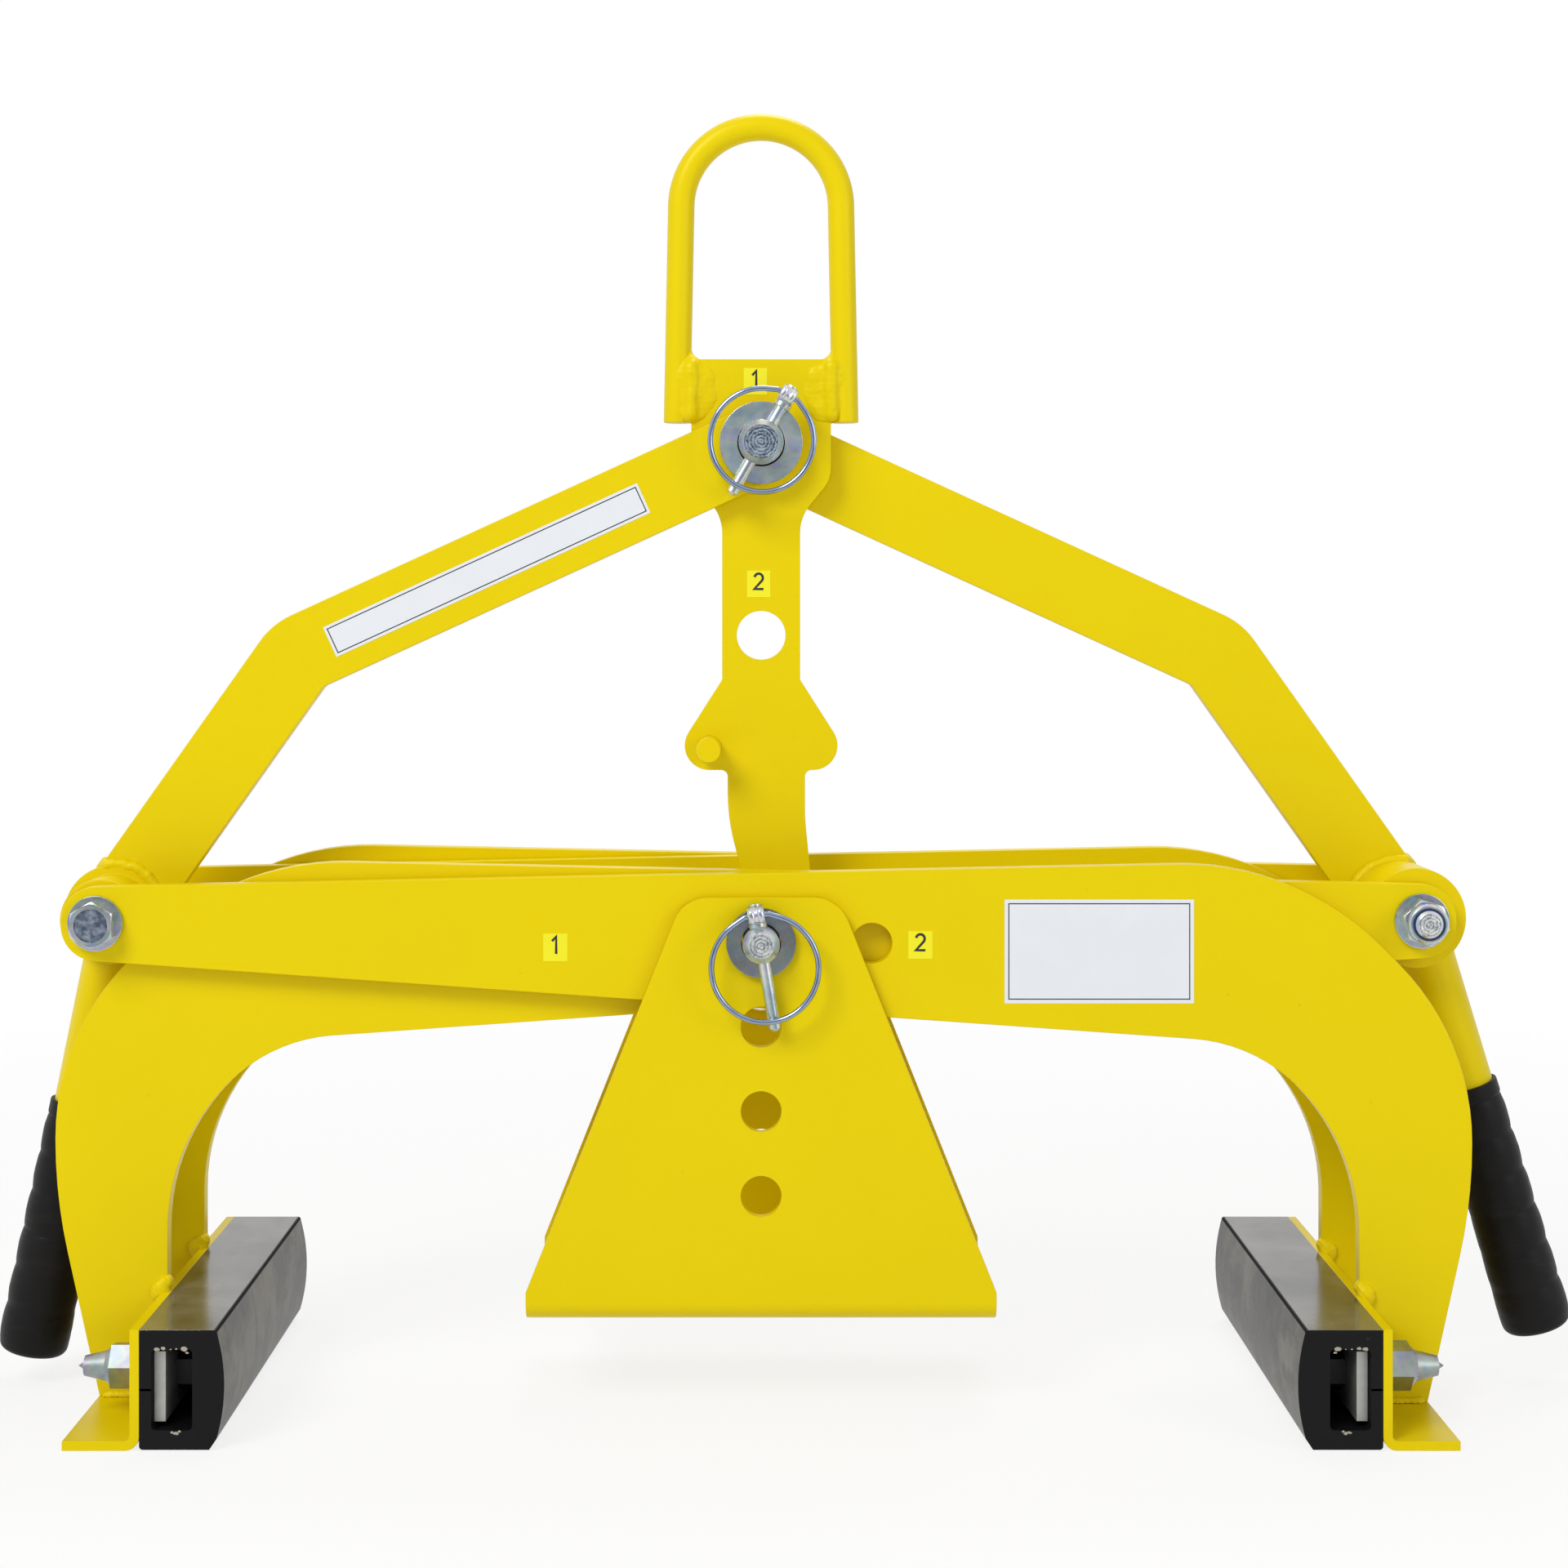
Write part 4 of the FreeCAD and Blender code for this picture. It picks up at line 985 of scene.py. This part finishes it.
def pin_frame(joint):
    """The middle of a pin's head, the way of the hole through it, and the way down its shank."""
    hole = Vector(joints[joint]["pos_m"])
    across = Vector(joints[joint]["axis"]).normalized()
    way = along_y.cross(across)
    return hole, across, -way if way.z > 0 else way


def spring_ring(name, joint):
    """The ring lies flat against its pin at rest. Its joint's axis runs through the pin's head."""
    hole, across, way = pin_frame(joint)
    centre = hole + way * ring_radius
    side = ring_head_half + wire_radius + ring_bend_gap
    start_turn = math.asin(side / ring_radius)
    arc = []
    for step in range(ring_arc_steps + 1):
        turn = start_turn + (math.tau - 2 * start_turn) * step / ring_arc_steps
        arc.append(centre - way * ring_radius * math.cos(turn) + across * ring_radius * math.sin(turn))
    first_corner = hole + across * side
    last_corner = hole - across * side
    points = [hole + across * ring_end_inside]
    run = arc[ring_arc_cut:-ring_arc_cut]
    points += rounded_corner(points[0], first_corner, run[0], ring_bend_radius)
    points += run
    points += rounded_corner(run[-1], last_corner, hole, ring_bend_radius)
    points.append(hole - across * ring_end_inside)
    mesh = wire_mesh(points, wire_radius, along_y)
    made = piece(name + "_wire", mesh, body_of[name], "zinc_plate", "spring_wire")
    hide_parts(name)


spring_ring("main_linch_ring", "main_ring_flip")
spring_ring("top_linch_ring", "top_ring_flip")
print("rings of", 2 * wire_radius / mm, "mm wire")

# %% [markdown]
# The head of each linch pin is pressed, not turned: two lugs bulge in front where the wire's ends
# go in, a small cap stands on its outer end and a collar below it.

# %% Heads of the linch pins
lug_size = (1.6 * mm, 1.2 * mm, 3.0 * mm)
lug_side = 2.0 * mm
lug_stand = 2.2 * mm
head_steps = 3
turned_rings = [(2.7 * mm, 1.4 * mm, -4.05 * mm), (3.9 * mm, 2.6 * mm, 4.6 * mm)]


def linch_head(name, joint, pin_body):
    """The lugs, cap and collar. A turned ring is a radius, a length and a place along the shank."""
    hole, across, way = pin_frame(joint)
    turn = Matrix((across, way.cross(across), way)).transposed().to_4x4()
    mesh = bmesh.new()
    for sign in (1, -1):
        centre = hole + across * sign * lug_side - along_y * lug_stand
        matrix = Matrix.Translation(centre) @ turn @ Matrix.Diagonal((*lug_size, 1))
        bmesh.ops.create_uvsphere(mesh, u_segments=32, v_segments=20, radius=1, matrix=matrix)
    axis = hole + along_y * (wire_radius + ring_bend_gap + shank_radius)
    for radius, length, place in turned_rings:
        bmesh.ops.create_cone(
            mesh,
            cap_ends=True,
            segments=48,
            radius1=radius,
            radius2=radius,
            depth=length,
            matrix=Matrix.Translation(axis + way * place) @ turn,
        )
    bevel_sharp(mesh, zinc_edge, head_steps)
    piece(name, mesh, pin_body, "zinc_plate", "zinc_plate")


linch_head("main_linch_head", "main_ring_flip", "main_pin")
linch_head("top_linch_head", "top_ring_flip", "top_pin")
print("2 linch pin heads")

# %% [markdown]
# ## Welds
# A weld bead is a row of frozen drops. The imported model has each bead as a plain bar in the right
# place. Drops are added to it, or stand for it at the links, and then the bead is remeshed as one
# even skin. Smoothing melts the drops together, and noise pushes the skin out and in.

# %% Weld beads
weld_grain = 0.7 * mm
ripple_pitch = 2.6 * mm
ripple_height = 0.16 * mm
lump_height = 0.35 * mm
broad_lump = 6 * mm
fine_lump = 2.5 * mm
fine_share = 0.5
ripple_bend = 4 * mm
bend_share = 0.5
every_way = {"use_axis_x": True, "use_axis_y": True, "use_axis_z": True}


def evenly_meshed(mesh, grain):
    """The same volume with one even skin of small faces."""
    source = object_of("weld_source", mesh)
    data = source.data
    remesh = source.modifiers.new("remesh", "REMESH")
    remesh.mode = "VOXEL"
    remesh.voxel_size = grain
    even = bmesh.new()
    even.from_object(source, bpy.context.evaluated_depsgraph_get())
    bpy.data.objects.remove(source)
    bpy.data.meshes.remove(data)
    return even


def rippled(mesh, run, seed, ripple, rounds):
    """Pushes a bead's skin out and in. The run is the direction that its ripples follow."""
    for _ in range(rounds):
        bmesh.ops.smooth_vert(mesh, verts=mesh.verts, factor=0.5, **every_way)
    mesh.normal_update()
    shift = Vector((seed, 2 * seed, 3 * seed))
    for vert in mesh.verts:
        lumps = noise.noise(vert.co / broad_lump + shift)
        lumps += fine_share * noise.noise(vert.co / fine_lump + shift)
        bend = bend_share * noise.noise(vert.co / ripple_bend - shift)
        wave = math.sin(math.tau * (vert.co.dot(run) / ripple_pitch + bend))
        vert.co += vert.normal * (lump_height * lumps + ripple * wave)


def weld(node, run, seed, ripple=ripple_height, rounds=1, lumps=(), fillets=(), bar=True):
    """A rough bead that stands for a node: its bar, or lumps alone, and any corner fillets."""
    mesh = merged_copy(node) if bar else bmesh.new()
    for place, size in lumps:
        matrix = Matrix.Translation(place) @ Matrix.Diagonal((*size, 1))
        bmesh.ops.create_icosphere(mesh, subdivisions=3, radius=1, matrix=matrix)
    for corner, outward in fillets:
        corner_fillet(mesh, corner, outward)
    mesh = evenly_meshed(mesh, weld_grain)
    rippled(mesh, run, seed, ripple, rounds)
    made = piece(node + "_beads", mesh, body_of[node], "yellow_paint", "yellow_paint")
    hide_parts(node)


print("weld skin of", weld_grain / mm, "mm faces")

# %% [markdown]
# The bail's legs are held by more weld than any other joint: fat lumps lie in the corners between
# each leg and the plate, in front, and a smaller row behind. Paint has run over them, so their
# ripples are nearly gone. A hollow fillet rounds each upper corner of the plate. Round the boss of
# each link, rows of drops lie in the corners on both sides of the flat bar.

# %% Welds of the bail, links and feet
fillet_radius = 5.5 * mm
fillet_half_depth = 3.2 * mm
fillet_sunk = 2.0 * mm
fillet_steps = 6
bail_ripple = 0.05 * mm
bail_rounds = 8
link_ripple = 0.06 * mm
link_rounds = 3
link_lean = math.radians(34)
link_weld_start = math.radians(-42)
link_weld_turn = math.radians(92)
# A face of a link's bar has a depth from the pivot's middle and a way out.
link_faces = [(-13.5 * mm, -1), (-5.5 * mm, 1)]
link_half = 4.6 * mm
# One more drop at a boss has a turn, a reach and a half size.
link_corners = [
    (math.radians(-54.0), 21.0 * mm, 2.2 * mm),
    (math.radians(-51.0), 22.4 * mm, 1.8 * mm),
    (math.radians(-46.5), 24.0 * mm, 1.6 * mm),
]
drop_count = 16
drop_reach = 22.0 * mm
drop_wander = 0.8 * mm
drop_stand = 1.0 * mm
drop_size = Vector((2.8, 2.6, 2.8)) * mm
drop_noise_step = 700
# A lump has a place and its half sizes, in millimetres.
bail_lumps = [
    ((-32.0, -4.0, 452.0), (9.0, 2.6, 9.0)),
    ((-29.5, -4.0, 443.0), (10.5, 2.5, 12.0)),
    ((-26.0, -4.0, 450.0), (6.0, 2.2, 8.0)),
    ((-31.0, -4.4, 436.0), (7.0, 2.2, 6.0)),
    ((32.0, -4.0, 452.0), (9.0, 2.6, 9.0)),
    ((29.0, -4.0, 444.0), (11.0, 2.5, 12.0)),
    ((24.5, -4.2, 450.5), (5.0, 2.2, 6.5)),
    ((28.5, -4.4, 437.0), (7.5, 2.3, 6.5)),
    ((-30.5, 4.2, 452.0), (8.5, 2.8, 9.0)),
    ((-30.5, 4.2, 440.0), (8.0, 2.8, 9.5)),
    ((30.5, 4.2, 452.0), (8.5, 2.8, 9.0)),
    ((30.5, 4.2, 440.0), (8.0, 2.8, 9.5)),
]
hanger_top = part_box("hanger_plate")[1][2]
bail_inside = 31.6 * mm
spatter = {
    "left": [
        ((-262.0, -38.5, 50.0), (4.5, 3.0, 5.0)),
        ((-260.0, -37.0, 53.5), (3.5, 3.5, 3.5)),
        ((-262.0, 38.5, 50.0), (4.5, 3.0, 5.0)),
        ((-260.0, 39.5, 53.0), (3.5, 3.5, 3.5)),
    ],
    "right": [
        ((262.0, -47.5, 50.0), (4.0, 2.8, 5.0)),
        ((260.0, -45.5, 53.5), (3.0, 3.0, 3.5)),
        ((262.0, 30.0, 50.0), (4.0, 2.8, 5.0)),
        ((260.0, 31.5, 53.0), (3.5, 3.0, 3.5)),
    ],
}


def in_metres(lumps):
    """Places and half sizes from millimetres."""
    return [(Vector(place) * mm, Vector(size) * mm) for place, size in lumps]


def link_drops(side):
    """Rows of drops round a boss, in the corners between it and the link's two faces."""
    sign = handle_sides[side]
    pivot = Vector(joints[handle_pivots[side]]["pos_m"])
    drops = []
    for face, outward in link_faces:
        for step in range(drop_count):
            turn = link_lean + link_weld_start + link_weld_turn * step / (drop_count - 1)
            reach = drop_reach + drop_wander * noise.noise(Vector((face * drop_noise_step, step, 0)))
            spot = Vector((-sign * reach * math.sin(turn), -sign * (face + outward * drop_stand), 0))
            spot.z = reach * math.cos(turn)
            drops.append((pivot + spot, drop_size))
    middle = sum(face for face, outward in link_faces) / len(link_faces)
    for turn, reach, half in link_corners:
        turn += link_lean
        spot = Vector((-sign * reach * math.sin(turn), -sign * middle, reach * math.cos(turn)))
        drops.append((pivot + spot, Vector((half, link_half, half))))
    return drops


def thickened(mesh, faces, shift):
    """Extrudes flat faces by a shift into a solid whose faces point outwards."""
    grown = bmesh.ops.extrude_face_region(mesh, geom=faces)["geom"]
    moved = [item for item in grown if isinstance(item, bmesh.types.BMVert)]
    bmesh.ops.translate(mesh, verts=moved, vec=shift)
    bmesh.ops.recalc_face_normals(mesh, faces=mesh.faces)


def corner_fillet(mesh, corner, outward):
    """A hollow fillet between the plate's top edge and a leg that stands outward of it."""
    sunk = corner + Vector((outward, 0, -1)) * fillet_sunk
    spots = [sunk, sunk - along_x * outward * (fillet_radius + fillet_sunk)]
    for step in range(fillet_steps + 1):
        turn = math.radians(90 * step / fillet_steps)
        inward = fillet_radius * (1 - math.sin(turn))
        spots.append(corner + Vector((-outward * inward, 0, fillet_radius * (1 - math.cos(turn)))))
    spots.append(sunk + along_z * (fillet_radius + fillet_sunk))
    verts = [mesh.verts.new(spot - along_y * fillet_half_depth) for spot in spots]
    thickened(mesh, [mesh.faces.new(verts)], along_y * 2 * fillet_half_depth)


corners = [(Vector((sign * bail_inside, 0, hanger_top)), sign) for sign in handle_sides.values()]
weld("bail_welds", along_z, 1.7, bail_ripple, bail_rounds, in_metres(bail_lumps), corners)
for number, side in enumerate(handle_sides):
    drops = link_drops(side)
    weld(side + "_link_welds", along_x, 4.1 + number, link_ripple, link_rounds, drops, bar=False)
    weld(side + "_foot_welds", along_x + along_z, 7.3 + number, lumps=in_metres(spatter[side]))
print(len(bail_lumps), "lumps at the bail and", len(drops), "drops at each link")

# %% [markdown]
# ## Labels on the steel
# A label is a film of vinyl. It is 0.15 mm thick here, so that it casts a fine edge line and stays
# clear of the paint below. A number is a thinner film on top of it, and a border is a narrow ring
# of its own faces.

# %% Labels
film = 0.15 * mm
print_film = 0.05 * mm
border_line = 0.5 * mm
number_share = 0.62
number_lift = 0.9 * mm
digit_stroke = 0.15
mitre_limit = 0.5
round_start = 170
round_turn = 19
round_points = 12
round_top = [math.radians(round_start - round_turn * step) for step in range(round_points)]
# The points of each digit are in shares of its height.
digit_points = {
    "1": [(-0.19, 0.24), (0.05, 0.5), (0.05, -0.5)],
    "2": [(0.25 * math.cos(turn), 0.24 + 0.26 * math.sin(turn)) for turn in round_top],
}
digit_points["2"] += [(-0.26, -0.43), (0.29, -0.43)]
link_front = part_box("left_link")[0][1]
jaw_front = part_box("right_jaw_outer_plate")[0][1]
hanger_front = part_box("hanger_plate")[0][1]


def label_frame(centre, turn):
    """The place of a label's middle on a front face, turned in that face."""
    upright = Matrix.Rotation(math.pi / 2, 4, "X")
    return Matrix.Translation(centre) @ Matrix.Rotation(-turn, 4, "Y") @ upright


def vinyl(width, height, border):
    """A flat film. A border is a thin inset line of the second finish."""
    mesh = bmesh.new()
    bmesh.ops.create_grid(mesh, x_segments=1, y_segments=1, size=0.5)
    bmesh.ops.scale(mesh, vec=(width, height, 1), verts=mesh.verts)
    if border:
        inset = {"use_boundary": True, "use_even_offset": True}
        bmesh.ops.inset_region(mesh, faces=mesh.faces[:], thickness=border, **inset)
        middle = max(mesh.faces, key=lambda face: face.calc_area())
        ringed = bmesh.ops.inset_region(mesh, faces=[middle], thickness=border_line, **inset)["faces"]
        for face in ringed:
            face.material_index = 1
    thickened(mesh, mesh.faces[:], along_z * film)
    return mesh


def numeral(digit, height):
    """A digit as a flat stroke of even width along its points, centred on the origin."""
    points = [Vector((*spot, 0)) * height for spot in digit_points[digit]]
    half = digit_stroke * height / 2
    mesh = bmesh.new()
    sides = ([], [])
    for index, point in enumerate(points):
        ahead = points[min(index + 1, len(points) - 1)]
        behind = points[max(index - 1, 0)]
        into = (point - behind).normalized() if index else (ahead - point).normalized()
        out = (ahead - point).normalized() if ahead != point else into
        way = (into + out).normalized()
        reach = half / max(way.dot(into), mitre_limit)
        for side, sign in zip(sides, (1, -1)):
            side.append(mesh.verts.new(point + sign * reach * Vector((-way.y, way.x, 0))))
    for index in range(len(points) - 1):
        quad = (sides[0][index], sides[1][index], sides[1][index + 1], sides[0][index + 1])
        mesh.faces.new(quad)
    thickened(mesh, mesh.faces[:], along_z * print_film)
    return mesh


def label(name, body, centre, size, turn=0.0, number=None, border=0.0):
    """A label on a front face, with a plain number or a border."""
    finish = "label_yellow" if number else "label_white"
    mesh = vinyl(*size, border)
    mesh.transform(label_frame(centre, turn))
    piece(name, mesh, body, "yellow_paint", finish, "label_ink")
    if number:
        figure = numeral(number, number_share * size[1])
        lifted = label_frame(centre - along_y * film + along_z * number_lift, turn)
        figure.transform(lifted)
        piece(name + "_number", figure, body, "yellow_paint", "label_ink")


def front_spot(pixel, face):
    """The point of a front face that lies behind a pixel of the photograph."""
    scale = (camera_distance + face) / focal_pixels
    right = pixel[0] - eye_pixel[0]
    down = pixel[1] - eye_pixel[1]
    return Vector((right * scale, face, camera_height - down * scale))


setting_label = (10.5 * mm, 12.0 * mm)
setting_pixels = {
    "hanger_label_1": (925, 467),
    "hanger_label_2": (929, 715),
    "jaw_label_1": (680, 1160),
    "jaw_label_2": (1127, 1157),
}
for name, pixel in setting_pixels.items():
    body = "hanger" if name.startswith("hanger") else "right_jaw"
    front = hanger_front if body == "hanger" else jaw_front
    label(name, body, front_spot(pixel, front), setting_label, number=name[-1])

link_label_pixel = (596, 698)
link_label_turn = math.radians(24.7)
link_label_size = (154.0 * mm, 14.5 * mm)
link_border = 1.2 * mm
link_label_spot = front_spot(link_label_pixel, link_front)
label("link_label", "left_link", link_label_spot, link_label_size, link_label_turn, border=link_border)
jaw_label_pixel = (1346, 1165)
jaw_label_size = (82.0 * mm, 45.0 * mm)
jaw_border = 1.6 * mm
jaw_label_spot = front_spot(jaw_label_pixel, jaw_front)
label("jaw_label", "right_jaw", jaw_label_spot, jaw_label_size, border=jaw_border)
print(len(setting_pixels) + 2, "labels")

# %% [markdown]
# ## Floor, backdrop and light
# The backdrop is the world itself: white where the camera or a reflection looks at it, and a plain
# grey level as a source of light. The floor is a pale disc that fades into that white, and it still
# darkens where the clamp keeps the light off it. A closing jaw swings its foot below the floor, so
# the floor is clear where it is white, and from below it lets all light through.

# %% Floor and world
floor_radius = 4.0
floor_colour = (0.88, 0.88, 0.88)
floor_sides = 96
floor_clear = 0.45
floor_fade = 1.3
floor_clearness = 0.82
sky_level = 0.42


def floor_white():
    """A dull white that is clear to the eye, less so near the clamp, and open from below."""
    finish = Finish("floor_white")
    finish.surface(Base_Color=floor_colour, Roughness=1.0, Specular_IOR_Level=0.0)
    distance = finish.node("ShaderNodeVectorMath", {"operation": "LENGTH"}, {0: finish.place}, "Value")
    share = floor_clearness + (1 - floor_clearness) * band(finish, distance, floor_clear, floor_fade)
    clear = finish.node("ShaderNodeBsdfTransparent", inputs={"Color": (1, 1, 1, 1)})
    below = finish.node("ShaderNodeNewGeometry", output="Backfacing")
    lit = Socket(finish, finish.shader.outputs[0])
    both = finish.node("ShaderNodeMixShader", inputs={0: finish.seen() * share + below, 1: lit, 2: clear})
    finish.plug(finish.tree.nodes["Material Output"].inputs["Surface"], both)
    return finish.material


mesh = bmesh.new()
bmesh.ops.create_circle(mesh, cap_ends=True, radius=floor_radius, segments=floor_sides)
floor = object_of("floor", mesh, floor_white())

world = bpy.data.worlds.new("studio")
studio = Graph(world)
bpy.context.scene.world = world
backdrop = studio.tree.nodes["Background"]
studio.plug(backdrop.inputs["Color"], (1, 1, 1, 1))
studio.plug(backdrop.inputs["Strength"], sky_level + (1 - sky_level) * studio.seen())
print("world level", sky_level)

# %% Lamps
# A lamp has a place, a size in metres and a power in watts.
lamps = {
    "key": ((-1.3, -1.9, 2.1), 1.3, 44.0),
    "fill": ((1.8, -1.6, 0.9), 1.2, 10.0),
    "top": ((0.2, 0.9, 2.2), 1.0, 14.0),
}
lamp_target = Vector((0, 0, 0.28))
for name, (place, size, power) in lamps.items():
    light = bpy.data.lights.new(name, "AREA")
    light.shape = "DISK"
    light.size = size
    light.energy = power
    lamp = bpy.data.objects.new(name, light)
    lamp.location = place
    lamp.rotation_euler = (lamp_target - lamp.location).to_track_quat("-Z", "Y").to_euler()
    lamp.visible_camera = False
    bpy.context.scene.collection.objects.link(lamp)
print(len(lamps), "lamps")

# %% [markdown]
# Metal shows its surroundings. In a room that is white all round it looks like grey plastic, so a
# dark card stands behind the camera. It is a painted reflection: it glows with a colour of its own,
# is seen only in reflections, darkens the middle of each wire and leaves its edges bright, and it
# takes no light away. Its glow is painted darker towards the floor.

# %% Dark card behind the camera, a painted reflection
card_half_width = 1.05
card_height = 1.0
card_place = -1.35
# A painted glow has a height in metres and a colour.
card_painted_glow = [
    (0.0, (0.09, 0.11, 0.14)),
    (0.25, (0.12, 0.14, 0.18)),
    (0.50, (0.42, 0.48, 0.52)),
    (1.0, (0.8, 0.84, 0.86)),
]
# The card's emission is a painted reflection: a glow set by height, darker towards the floor.
card_finish = Finish("painted_reflection_card")
rise = card_finish.node("ShaderNodeSeparateXYZ", inputs={0: card_finish.place}, output="Z")
card_finish.surface(
    Base_Color=(0, 0, 0),
    Specular_IOR_Level=0.0,
    Emission_Color=card_finish.ramp(rise, *card_painted_glow),
    Emission_Strength=1.0,
)
mesh = bmesh.new()
bmesh.ops.create_grid(mesh, x_segments=1, y_segments=1, size=0.5)
bmesh.ops.scale(mesh, vec=(2 * card_half_width, card_height, 1), verts=mesh.verts)
upright = Matrix.Rotation(math.pi / 2, 4, "X")
mesh.transform(Matrix.Translation((0, card_place, card_height / 2)) @ upright)
card = object_of("painted_reflection_card", mesh, card_finish.material)
for ray in ("camera", "diffuse", "transmission", "volume_scatter", "shadow"):
    setattr(card, "visible_" + ray, False)
print("card", 2 * card_half_width, "m wide")
